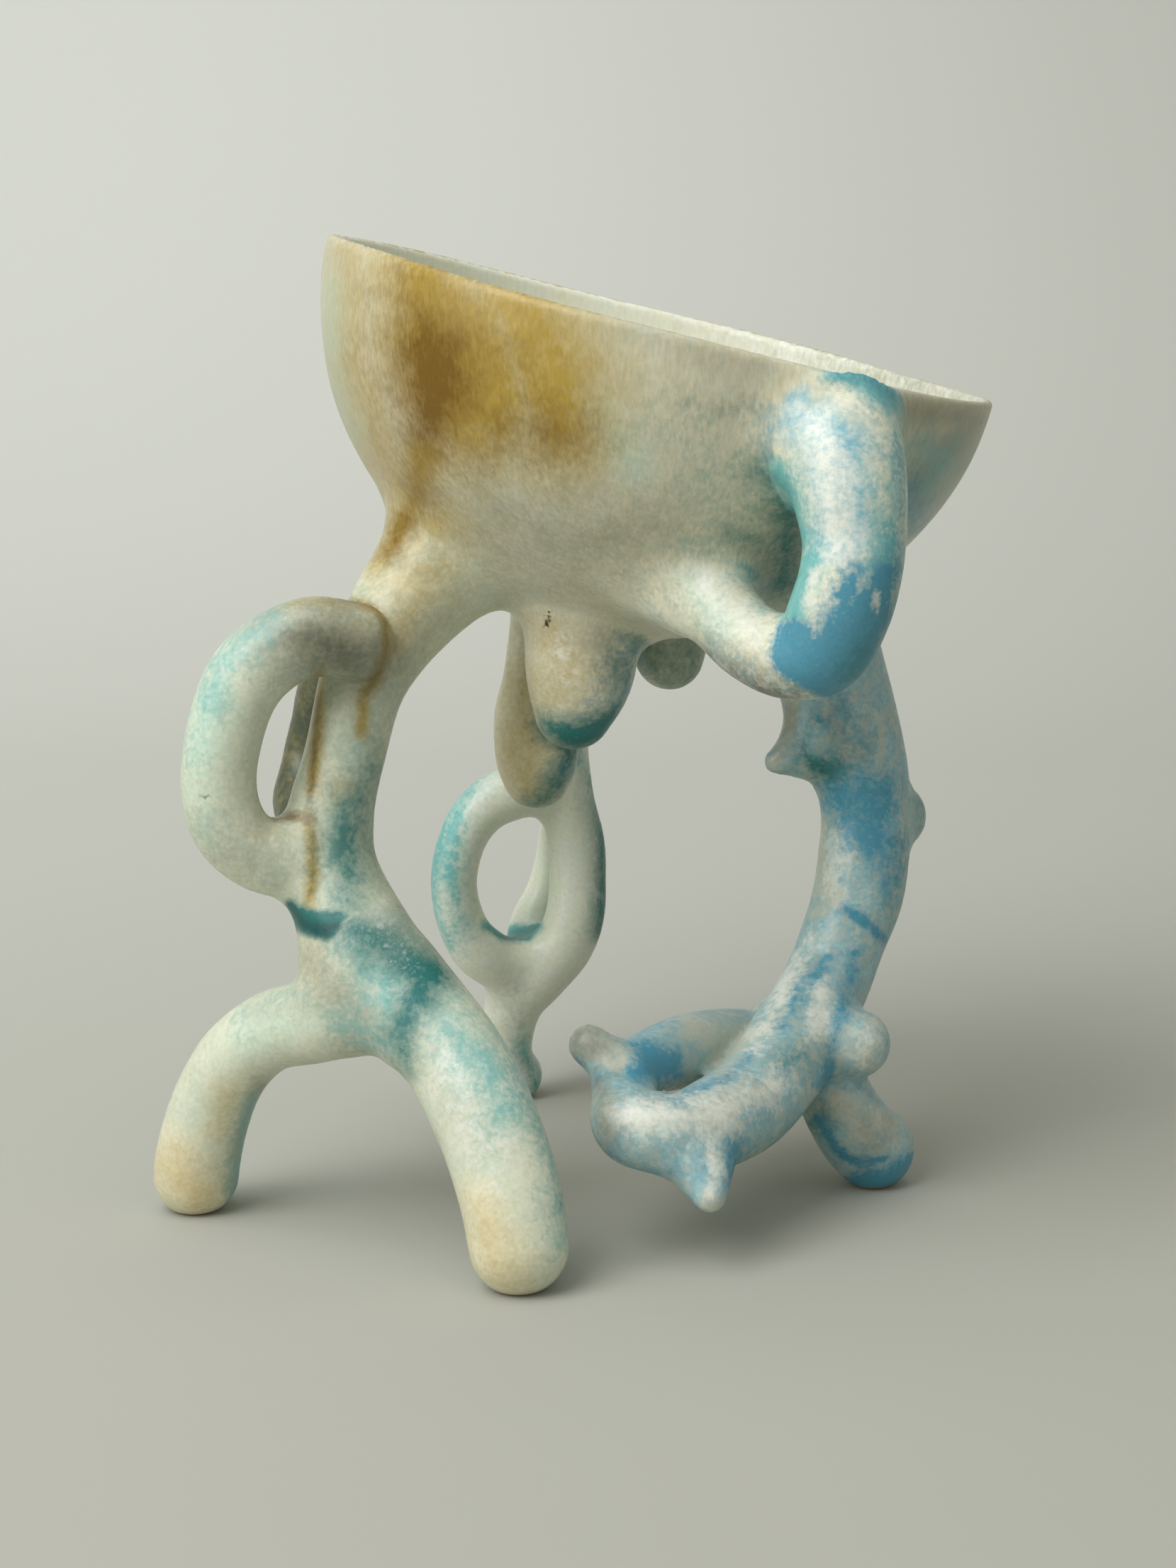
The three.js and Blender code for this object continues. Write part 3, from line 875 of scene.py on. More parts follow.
# Each stroke: glaze, strength, feather, then its stops as place across, place down and radius.
STROKES = {
    "bowl": [
        ("stain", 0.7, 120, (490, 360, 30), (500, 520, 46), (540, 640, 50), (600, 740, 60)),
        ("stain", 0.95, 150, (600, 400, 80), (640, 470, 115), (670, 560, 110)),
        ("stain", 0.92, 150, (640, 400, 40), (740, 440, 90), (780, 540, 96), (790, 600, 76)),
        ("brown", 0.5, 130, (598, 420, 60), (620, 520, 100), (622, 620, 70)),
        ("brown", 1.0, 110, (592, 450, 24), (610, 495, 56), (618, 550, 56), (606, 610, 30)),
        ("brown", 0.5, 90, (566, 385, 20), (584, 450, 40), (598, 580, 40), (590, 690, 34)),
        ("stain", 0.95, 70, (600, 640, 40), (586, 700, 30), (560, 770, 24)),
        ("brown", 0.6, 60, (594, 680, 18), (576, 730, 20), (550, 785, 16)),
        ("brown", 0.5, 100, (690, 600, 40), (765, 612, 54), (815, 612, 36)),
        # painted shade along the bowl's underside
        ("smoke", 0.3, 140, (700, 720, 50), (780, 750, 60), (940, 765, 50), (960, 800, 30)),
        ("mint", 0.6, 50, (468, 400, 14), (468, 500, 18), (480, 560, 16), (505, 620, 12)),
        ("mint", 0.5, 80, (852, 583, 26), (890, 650, 30)),
        # grey here is painted shade on the bowl's underside
        ("grey", 0.42, 160, (660, 740, 50), (780, 755, 60), (920, 760, 60)),
        ("grey", 0.56, 140, (860, 440, 60), (1010, 500, 60), (1090, 520, 30)),
        # a faint painted shade over the upper tan
        ("smoke", 0.12, 130, (650, 430, 60), (740, 500, 80)),
        ("aqua", 0.26, 150, (960, 620, 45), (1010, 670, 70), (1000, 760, 50)),
        ("teal", 0.4, 60, (975, 568, 14), (1030, 578, 18), (1060, 565, 14)),
        ("blue", 0.55, 60, (1080, 590, 16), (1092, 660, 18)),
        ("teal", 0.8, 70, (1070, 662, 22), (1100, 690, 34), (1115, 740, 36), (1105, 820, 36)),
        ("teal", 0.6, 60, (1030, 752, 22), (1075, 765, 30)),
        ("teal", 0.4, 60, (990, 775, 14), (1040, 805, 20)),
        # grey glaze on the bowl's right side, with painted shade where it turns from the light
        ("grey", 0.95, 80, (1290, 580, 25), (1380, 590, 25), (1300, 690, 40)),
        ("smoke", 0.35, 80, (1290, 620, 30), (1340, 640, 40), (1290, 710, 40)),
        ("aqua", 0.5, 90, (1290, 630, 34), (1330, 650, 44), (1290, 715, 34)),
        ("blue", 0.6, 60, (1275, 690, 26), (1290, 745, 24)),
        ("rust", 0.8, 5, (726, 390, 2), (727, 395, 1)),
    ],
    "handle": [
        ("sky", 0.72, 60, (1110, 560, 30), (1180, 640, 60), (1190, 740, 60)),
        ("aqua", 0.98, 40, (1180, 522, 18), (1228, 538, 24), (1262, 570, 20)),
        ("aqua", 0.97, 34, (1095, 665, 18), (1118, 700, 18), (1125, 760, 20), (1118, 870, 20)),
        ("aqua", 0.9, 50, (1262, 600, 10), (1262, 700, 16), (1250, 800, 26)),
        ("blue", 0.6, 50, (1272, 620, 8), (1272, 720, 12), (1262, 800, 18)),
        ("blue", 0.97, 50, (1250, 815, 24), (1225, 870, 50), (1195, 905, 56), (1170, 930, 50)),
        ("blue", 0.98, 16, (1122, 900, 30), (1116, 925, 30), (1175, 960, 32), (1210, 940, 40)),
        ("blue", 0.9, 40, (1206, 812, 20), (1190, 838, 22)),
        ("aqua", 0.96, 46, (1140, 790, 22), (1122, 850, 24)),
        ("teal", 0.5, 34, (1090, 672, 8), (1110, 700, 8), (1116, 770, 8)),
        ("teal", 0.45, 60, (1272, 800, 14), (1252, 880, 20), (1215, 950, 26)),
        ("aqua", 0.6, 50, (1010, 770, 14), (1060, 800, 20), (1085, 850, 18)),
        ("blue", 0.5, 30, (1040, 785, 8), (1080, 830, 10)),
        ("blue", 0.5, 50, (1180, 520, 16), (1228, 536, 22), (1262, 566, 20)),
        ("white", 0.64, 50, (1105, 545, 12), (1150, 600, 30), (1185, 690, 40), (1190, 770, 34)),
        ("white", 0.72, 16, (1150, 808, 7), (1142, 850, 8)),
        ("white", 0.68, 14, (1238, 835, 4), (1236, 865, 5)),
        ("white", 0.55, 70, (985, 800, 30), (1040, 860, 40), (1070, 895, 20)),
        ("mint", 0.5, 60, (970, 820, 22), (1010, 880, 36)),
        ("stain", 0.3, 60, (950, 835, 20), (985, 890, 16)),
        # painted shade on the handle's lower side and underside
        ("smoke", 0.18, 80, (1000, 830, 30), (1050, 870, 30)),
        ("smoke", 0.9, 60, (1000, 940, 30), (1060, 970, 26), (1120, 985, 24)),
        ("rust", 0.8, 5, (1113, 963, 2), (1115, 964, 1)),
    ],
    "drips": [
        ("stain", 0.46, 80, (780, 890, 40), (800, 950, 46), (770, 990, 30)),
        ("grey", 0.34, 80, (790, 900, 40), (800, 960, 44)),
        # painted shade between the drips, under the bowl
        ("smoke", 0.5, 70, (850, 900, 30), (872, 950, 30)),
        ("teal", 0.5, 60, (862, 930, 20), (872, 960, 30)),
        ("blue", 0.6, 70, (895, 920, 14), (880, 970, 28), (860, 1010, 26)),
        ("teal", 0.95, 50, (772, 1026, 20), (812, 1042, 30), (852, 1028, 28), (872, 1000, 16)),
        ("deep", 0.5, 30, (790, 1052, 8), (815, 1058, 10), (845, 1050, 8)),
        # teal glaze between the drips, laid deeper as painted shade
        ("teal", 0.75, 60, (895, 890, 18), (915, 915, 18)),
        # painted highlight: a white stroke where the centre drip's front catches the light
        ("white", 0.5, 40, (795, 900, 12), (795, 955, 16)),
        ("rust", 1.1, 5, (775, 862, 2), (770, 882, 2.5)),
        ("rust", 1.1, 5, (791, 860, 1.5), (796, 872, 2)),
        ("stain", 0.6, 70, (738, 960, 30), (738, 1060, 44), (745, 1110, 36)),
        ("teal", 0.72, 40, (814, 1045, 15), (798, 1086, 25), (778, 1118, 25), (748, 1138, 16)),
        ("blue", 0.55, 34, (812, 1045, 10), (800, 1085, 14)),
        ("grey", 0.2, 60, (944, 925, 60), (950, 940, 60)),
        ("teal", 0.5, 60, (950, 925, 56), (960, 945, 56)),
    ],
    "left": [
        ("stain", 0.64, 100, (590, 740, 40), (560, 820, 40), (620, 800, 36), (555, 900, 34)),
        # grey glaze and painted shade on the leg's top, under the bowl
        ("grey", 0.45, 90, (640, 850, 30), (575, 930, 34), (520, 1040, 34)),
        # painted shade on the loop's top, beside the leg
        ("smoke", 0.95, 120, (385, 895, 26), (450, 900, 50), (505, 930, 46)),
        ("stain", 0.4, 90, (440, 900, 30), (480, 910, 40)),
        # painted shade under the loop's lower bend
        ("smoke", 0.42, 80, (300, 1170, 20), (325, 1200, 30), (370, 1215, 20)),
        # painted shade along the groove where the loop's end lies on the leg
        ("smoke", 0.25, 34, (507, 850, 8), (533, 862, 8), (546, 900, 8), (530, 955, 10),
         (510, 1030, 8)),
        ("stain", 0.25, 80, (420, 895, 36), (480, 900, 40)),
        # painted shade down the leg's top and middle, under the bowl
        ("smoke", 0.2, 90, (600, 790, 40), (590, 800, 40)),
        ("smoke", 0.38, 90, (575, 870, 30), (515, 1040, 30)),
        ("grey", 0.34, 90, (650, 1480, 40), (700, 1600, 40), (710, 1680, 40)),
        ("rust", 0.9, 4, (287, 1125, 2), (289, 1127, 2)),
        ("grey", 0.42, 60, (385, 960, 16), (352, 1060, 18), (370, 1160, 26)),
        ("brown", 0.85, 44, (592, 690, 18), (572, 738, 18), (548, 780, 12)),
        ("stain", 0.9, 60, (586, 700, 26), (560, 760, 24), (530, 800, 14)),
        ("stain", 0.6, 30, (380, 852, 8), (440, 848, 10), (485, 849, 10), (510, 852, 6)),
        ("brown", 0.6, 9, (474, 847, 2), (507, 850, 4), (532, 860, 4), (545, 882, 4)),
        ("stain", 0.97, 18, (507, 850, 6), (533, 862, 7), (545, 884, 8), (546, 920, 8)),
        ("stain", 0.97, 20, (546, 920, 8), (532, 955, 9), (514, 980, 9), (510, 1032, 10)),
        ("brown", 0.3, 12, (547, 895, 4), (536, 945, 6), (518, 968, 6), (512, 1010, 4)),
        ("aqua", 0.62, 70, (385, 868, 12), (345, 900, 24), (312, 942, 28), (290, 990, 24)),
        ("aqua", 0.42, 70, (290, 990, 22), (272, 1060, 20)),
        ("mint", 0.55, 100, (300, 1000, 50), (280, 1080, 36), (290, 1180, 30)),
        ("stain", 0.3, 60, (361, 1164, 26), (385, 1185, 20)),
        ("mint", 0.5, 80, (520, 1000, 30), (500, 1060, 30)),
        ("stain", 0.9, 20, (450, 950, 8), (452, 990, 9), (447, 1050, 9), (440, 1115, 8)),
        # painted shade in a soft band along the streak
        ("smoke", 0.2, 30, (452, 960, 10), (446, 1060, 12), (438, 1150, 12), (440, 1250, 10)),
        ("brown", 0.6, 10, (448, 985, 4), (444, 1060, 5), (436, 1140, 5)),
        ("brown", 0.85, 16, (388, 1156, 4), (415, 1152, 7), (438, 1156, 8)),
        ("teal", 0.7, 70, (522, 1085, 24), (492, 1150, 44), (488, 1205, 46), (490, 1270, 40)),
        ("stain", 0.5, 40, (486, 1112, 16), (480, 1122, 14)),
        ("stain", 0.85, 18, (436, 1150, 8), (440, 1190, 9), (443, 1230, 10), (437, 1274, 10)),
        ("brown", 0.5, 12, (439, 1160, 5), (445, 1215, 5), (440, 1260, 5)),
        # painted shade in the crotch where the side foot leaves the leg
        ("smoke", 0.48, 80, (430, 1350, 30), (470, 1390, 40), (520, 1450, 44)),
        ("stain", 0.2, 60, (440, 1355, 30), (520, 1470, 24)),
        ("teal", 0.99, 14, (410, 1276, 8), (430, 1300, 18), (457, 1305, 23), (478, 1294, 14)),
        ("deep", 1.0, 16, (408, 1280, 4), (430, 1306, 9), (457, 1313, 11), (474, 1306, 6)),
        ("teal", 0.84, 60, (500, 1310, 30), (545, 1330, 44), (595, 1372, 40)),
        ("teal", 0.9, 50, (607, 1378, 34), (582, 1420, 28), (566, 1462, 22), (578, 1510, 8)),
        ("aqua", 0.6, 70, (500, 1340, 24), (540, 1390, 34), (550, 1440, 30)),
        ("aqua", 0.5, 60, (493, 1445, 30), (545, 1470, 26)),
        ("aqua", 0.62, 80, (620, 1430, 28), (670, 1490, 44), (710, 1560, 40)),
        ("aqua", 0.54, 70, (690, 1440, 16), (740, 1520, 26), (775, 1610, 22), (795, 1750, 18)),
        ("blue", 0.34, 60, (725, 1500, 14), (768, 1590, 14), (800, 1710, 14)),
        ("white", 0.46, 80, (616, 1462, 16), (640, 1510, 40), (675, 1590, 36), (700, 1650, 30)),
        ("white", 0.35, 60, (530, 1290, 30), (560, 1330, 30)),
        ("mint", 0.45, 90, (690, 1640, 30), (730, 1720, 30)),
        ("stain", 0.34, 80, (680, 1720, 36), (720, 1800, 40)),
        ("aqua", 0.36, 60, (340, 1440, 18), (380, 1410, 18), (430, 1400, 14)),
        ("mint", 0.5, 100, (350, 1470, 36), (450, 1440, 36)),
        ("grey", 0.6, 80, (370, 1430, 30), (450, 1420, 30)),
        ("grey", 0.55, 90, (610, 1470, 34), (650, 1540, 50), (690, 1640, 40)),
        ("stain", 0.32, 60, (322, 1530, 16), (302, 1585, 18)),
        ("stain", 0.46, 90, (240, 1650, 22), (275, 1690, 26)),
        ("peach", 0.8, 90, (240, 1640, 26), (275, 1690, 30)),
        ("peach", 0.4, 60, (330, 1530, 12), (310, 1600, 16)),
        ("peach", 0.6, 90, (680, 1700, 30), (700, 1790, 40)),
        ("stain", 0.3, 60, (440, 1340, 16), (455, 1400, 20)),
        # painted shade on the side foot's inner side, turned from the light
        ("smoke", 0.92, 44, (372, 1540, 10), (352, 1610, 14), (344, 1680, 14)),
        ("aqua", 0.85, 44, (360, 1560, 12), (346, 1610, 14), (338, 1680, 14)),
    ],
    "bar": [
        ("stain", 0.95, 12, (432, 955, 6), (424, 1000, 7), (412, 1060, 6)),
        ("brown", 0.85, 14, (424, 1005, 5), (418, 1060, 6), (414, 1150, 8)),
        ("deep", 0.5, 20, (420, 1040, 6), (416, 1090, 9), (414, 1148, 10)),
    ],
    "rear": [
        # grey here is painted shade on the rear leg's neck, under the bowl
        ("grey", 0.2, 100, (735, 880, 34), (735, 970, 30)),
        ("stain", 0.35, 100, (735, 900, 34), (740, 990, 30)),
        ("aqua", 0.85, 60, (682, 1060, 18), (642, 1108, 26), (618, 1170, 32), (606, 1230, 30)),
        ("aqua", 0.85, 60, (606, 1230, 26), (612, 1285, 24), (634, 1335, 18)),
        ("aqua", 0.82, 50, (690, 1080, 20), (650, 1130, 26), (632, 1220, 26), (650, 1310, 20)),
        ("aqua", 0.8, 40, (770, 1050, 16), (800, 1050, 16), (836, 1100, 16)),
        ("teal", 0.4, 44, (655, 1095, 10), (622, 1155, 10), (606, 1225, 12), (610, 1262, 10)),
        ("aqua", 0.99, 12, (686, 1304, 8), (712, 1317, 13), (742, 1316, 13), (760, 1306, 7)),
        ("teal", 0.6, 12, (690, 1306, 5), (712, 1320, 9), (742, 1320, 10), (757, 1308, 5)),
        ("aqua", 0.7, 50, (832, 1080, 12), (852, 1150, 14), (860, 1230, 16), (852, 1310, 16)),
        ("teal", 0.9, 30, (840, 1100, 14), (853, 1170, 18), (856, 1240, 20), (848, 1320, 16)),
        # painted shade low on the rear leg, behind the left leg
        ("smoke", 0.36, 60, (728, 1400, 24), (725, 1440, 24), (740, 1480, 20)),
        # painted light: a whiter stroke down the rear leg's front, which the bowl keeps in shade
        ("white", 0.75, 50, (800, 1100, 14), (806, 1190, 20), (800, 1280, 20)),
        ("aqua", 0.85, 40, (735, 1470, 14), (752, 1515, 18), (764, 1550, 18)),
        ("teal", 0.6, 34, (745, 1500, 9), (762, 1545, 12)),
    ],
    "right": [
        ("ash", 0.9, 40, (1118, 980, 16), (1112, 1040, 16), (1090, 1080, 14)),
        ("stain", 0.5, 60, (1118, 990, 22), (1120, 1040, 24), (1098, 1078, 14)),
        # painted shade on the inner thorn, with grey glaze
        ("wash", 0.36, 50, (1110, 1000, 16), (1112, 1050, 18), (1092, 1082, 14)),
        ("grey", 0.6, 60, (1112, 1000, 18), (1116, 1050, 20), (1095, 1080, 12)),
        ("blue", 0.55, 60, (1180, 1000, 40), (1210, 1070, 50)),
        ("teal", 0.34, 70, (1180, 1010, 40), (1200, 1070, 44), (1262, 1010, 16)),
        ("teal", 0.9, 36, (1135, 1070, 14), (1160, 1085, 24), (1180, 1090, 24)),
        ("blue", 0.9, 24, (1150, 1000, 10), (1156, 1016, 10)),
        ("blue", 0.88, 76, (1165, 1110, 20), (1215, 1130, 66), (1225, 1170, 50)),
        ("blue", 0.72, 50, (1262, 1180, 30), (1252, 1230, 34), (1250, 1275, 16)),
        ("teal", 0.6, 50, (1290, 1180, 10), (1280, 1250, 14), (1268, 1310, 10)),
        ("teal", 0.6, 40, (1300, 1110, 14), (1300, 1170, 14)),
        ("blue", 0.98, 14, (1172, 1279, 8), (1200, 1287, 11), (1228, 1306, 9), (1245, 1325, 9)),
        ("blue", 0.7, 40, (1168, 1352, 24), (1135, 1395, 28), (1104, 1445, 18)),
        ("blue", 0.8, 34, (1206, 1345, 14), (1200, 1380, 18), (1185, 1440, 18), (1168, 1500, 16)),
        ("blue", 0.9, 24, (1172, 1500, 14), (1158, 1530, 14)),
        ("teal", 0.7, 50, (1105, 1500, 20), (1130, 1490, 22)),
        ("teal", 0.8, 60, (1060, 1640, 16), (1120, 1610, 20), (1160, 1570, 20)),
        ("blue", 0.85, 24, (905, 1555, 8), (960, 1552, 14), (1015, 1530, 12), (1055, 1490, 8)),
        ("blue", 0.95, 40, (870, 1500, 16), (905, 1495, 36), (945, 1505, 30)),
        ("blue", 0.8, 50, (900, 1455, 10), (960, 1430, 12), (1040, 1424, 14)),
        ("blue", 0.8, 40, (860, 1630, 10), (905, 1655, 14), (950, 1655, 12)),
        ("blue", 0.85, 40, (1036, 1615, 20), (1034, 1665, 16)),
        ("ash", 0.61, 50, (1235, 990, 16), (1245, 1050, 20), (1238, 1090, 16)),
        ("white", 0.5, 44, (1180, 1180, 14), (1186, 1215, 22), (1172, 1250, 20)),
        ("ash", 0.75, 30, (1158, 1160, 16), (1160, 1250, 24), (1190, 1260, 16), (1150, 1290, 14)),
        ("ash", 0.6, 24, (1150, 1320, 16), (1225, 1328, 8)),
        ("white", 0.7, 40, (1142, 1320, 10), (1108, 1390, 16), (1065, 1480, 14)),
        ("ash", 0.50, 40, (1238, 1335, 14), (1240, 1395, 14)),
        ("white", 0.85, 30, (1160, 1400, 16), (1154, 1450, 18)),
        ("ash", 0.65, 30, (1232, 1445, 26), (1226, 1500, 28)),
        ("white", 0.45, 30, (1228, 1450, 16), (1222, 1490, 18)),
        ("ash", 0.7, 40, (848, 1540, 24), (862, 1595, 24)),
        # painted shade in the curl's inner bend
        ("wash", 0.72, 60, (844, 1530, 20), (856, 1600, 20)),
        ("wash", 0.85, 50, (824, 1465, 20), (846, 1482, 16)),
        # painted shade on the right leg's top, under the bowl
        ("wash", 0.3, 70, (1180, 1010, 36), (1200, 1060, 40)),
        ("ash", 0.68, 50, (890, 1580, 34), (970, 1580, 34), (1040, 1550, 34), (1100, 1530, 20)),
        ("white", 0.68, 70, (890, 1565, 26), (970, 1580, 36), (1030, 1560, 34), (1090, 1530, 24)),
        ("ash", 0.85, 50, (980, 1450, 30), (1035, 1462, 36), (1010, 1500, 20)),
        ("ash", 0.97, 40, (824, 1465, 30), (866, 1492, 26)),
        ("stain", 0.3, 40, (824, 1465, 30), (848, 1480, 20)),
        ("white", 0.5, 26, (1000, 1690, 20), (1004, 1704, 20)),
        ("grey", 0.6, 50, (1000, 1680, 24), (1004, 1704, 24)),
        ("grey", 0.5, 50, (1232, 1445, 26), (1226, 1500, 28)),
        ("ash", 0.8, 26, (1000, 1690, 20), (1004, 1704, 20)),
        ("white", 0.7, 30, (1000, 1600, 8), (1008, 1650, 14)),
        ("ash", 0.68, 40, (1185, 1555, 30), (1240, 1600, 44)),
        ("stain", 0.35, 60, (1195, 1560, 30), (1240, 1600, 34)),
        ("teal", 0.5, 24, (1212, 1560, 10), (1225, 1590, 10)),
        # painted shade on the right foot's beige patch
        ("wash", 0.32, 60, (1190, 1560, 30), (1240, 1610, 40)),
        ("blue", 0.9, 16, (1152, 1575, 9), (1178, 1618, 10), (1210, 1642, 11), (1248, 1634, 8)),
        ("blue", 0.96, 30, (1205, 1672, 22), (1250, 1668, 26), (1290, 1640, 20)),
        ("blue", 0.7, 34, (1290, 1580, 10), (1294, 1630, 12)),
    ],
}


def front_view(points):
    """Where points show in the front view, in picture points from the left and the top."""
    away = points - np.array(EYE)
    lean, drop = math.cos(EYE_DROP), math.sin(EYE_DROP)
    deep = away[:, 1] * lean - away[:, 2] * drop
    up = away[:, 2] * lean + away[:, 1] * drop
    across = PICTURE[0] / 2 + FOCAL * away[:, 0] / deep
    return np.column_stack([across, PICTURE[1] / 2 - FOCAL * up / deep])


def brushed(view, stops, feather):
    """How fully a stroke covers each point: 1 within it, falling to 0 over its feather."""
    gap = np.full(len(view), 1e9)
    for a, b in zip(stops, stops[1:]):
        a, d = np.array(a), np.array(b) - np.array(a)
        t = ((view - a[:2]) @ d[:2]) / (d[:2] @ d[:2])
        t = np.clip(t, 0, 1)
        off = np.linalg.norm(view - a[:2] - t[:, None] * d[:2], axis=1)
        gap = np.minimum(gap, off - a[2] - t * d[2])
    return np.clip(0.5 - gap / feather, 0, 1)


def clouds(points, size, turn):
    """Slow drifts between 0 and 1, a few times as wide as the size in millimetres."""
    x, y, z = (points / size + turn).T
    first = np.sin(x + 1.7 * np.sin(y * 0.8 + turn)) * np.sin(y * 1.1 + 1.3 * np.sin(z))
    second = np.sin(z * 1.2 + 1.9 * np.sin(x * 0.7)) * np.sin((x - y) * 0.9 + turn)
    return np.clip(0.5 + 0.5 * (first + second), 0, 1)


def glaze_masks(points, normals):
    """How strongly each glaze, painted shade and painted highlight lies on each point of the skin.
    """
    depths = np.array([row[0] for row in member_depths(points)])
    near = depths.min(0)
    names = ["bowl", *MEMBERS]
    view = front_view(points)
    toward = np.array(EYE) - points
    toward /= np.linalg.norm(toward, axis=1)[:, None]
    facing = (toward * normals).sum(1)
    local = bowl_frame(points)
    in_wall = BOWL_WALL / 2
    inside = ellipsoid(local, BOWL_RADIUS - in_wall, BOWL_DEPTH - in_wall)[0] < 0
    front = np.clip((facing + 0.3) / 0.35, 0, 1) * ~inside
    masks = {name: np.zeros(len(points)) for name in GLAZES}
    shares = {}
    for group, members in GROUPS.items():
        depth = depths[[names.index(name) for name in members]].min(0)
        shares[group] = np.clip(1 - (depth - near) / 3.5, 0, 1)
    total = sum(shares.values())
    for group, levels in GROUND.items():
        share = shares[group] / total
        for turn, (kind, (seen, hidden)) in enumerate(levels.items()):
            drift = 0.35 + 1.3 * clouds(points, 11, turn * 2.3 + len(group))
            level = seen * front + hidden * (1 - front) * drift
            masks[kind] += share * level * ~inside
    for group, strokes in STROKES.items():
        some = np.flatnonzero(shares[group] * front > 0)
        amount = shares[group][some] * front[some]
        for kind, strength, feather, *stops in strokes:
            cover = brushed(view[some], stops, feather) * amount * strength
            for other in (*RUNNY, *DRY) if kind in RUNNY else ():
                if other != kind:
                    masks[other][some] *= 1 - np.clip(2 * cover - 1, 0, 1)
            masks[kind][some] = np.maximum(masks[kind][some], cover)
    down_slope = np.clip(0.5 + local[inside, 0] / 120, 0, 1)
    masks["grey"][inside] = 0.65 * down_slope**2
    masks["mint"][inside] = 0.02 + 0.12 * clouds(points[inside], 16, 4.0)
    masks["stain"][inside] = 0.06 * clouds(points[inside], 18, 1.0)
    masks["white"][inside] = 0.5
    masks["grain"] = shares["bowl"]
    return masks


def linear(hex_colour):
    """An sRGB hex colour as linear light, with full alpha."""
    rgb = [int(hex_colour[k:k + 2], 16) / 255 for k in (1, 3, 5)]
    return (*[c / 12.92 if c <= 0.04045 else ((c + 0.055) / 1.055) ** 2.4 for c in rgb], 1)


def node(tree, kind, inputs=(), **settings):
    """Adds one node with its settings, and its inputs as links or plain values."""
    made = tree.nodes.new(kind)
    for name, value in settings.items():
        setattr(made, name, value)
    for where, value in dict(inputs).items():
        if isinstance(value, bpy.types.NodeSocket):
            tree.links.new(value, made.inputs[where])
        else:
            made.inputs[where].default_value = value
    return made


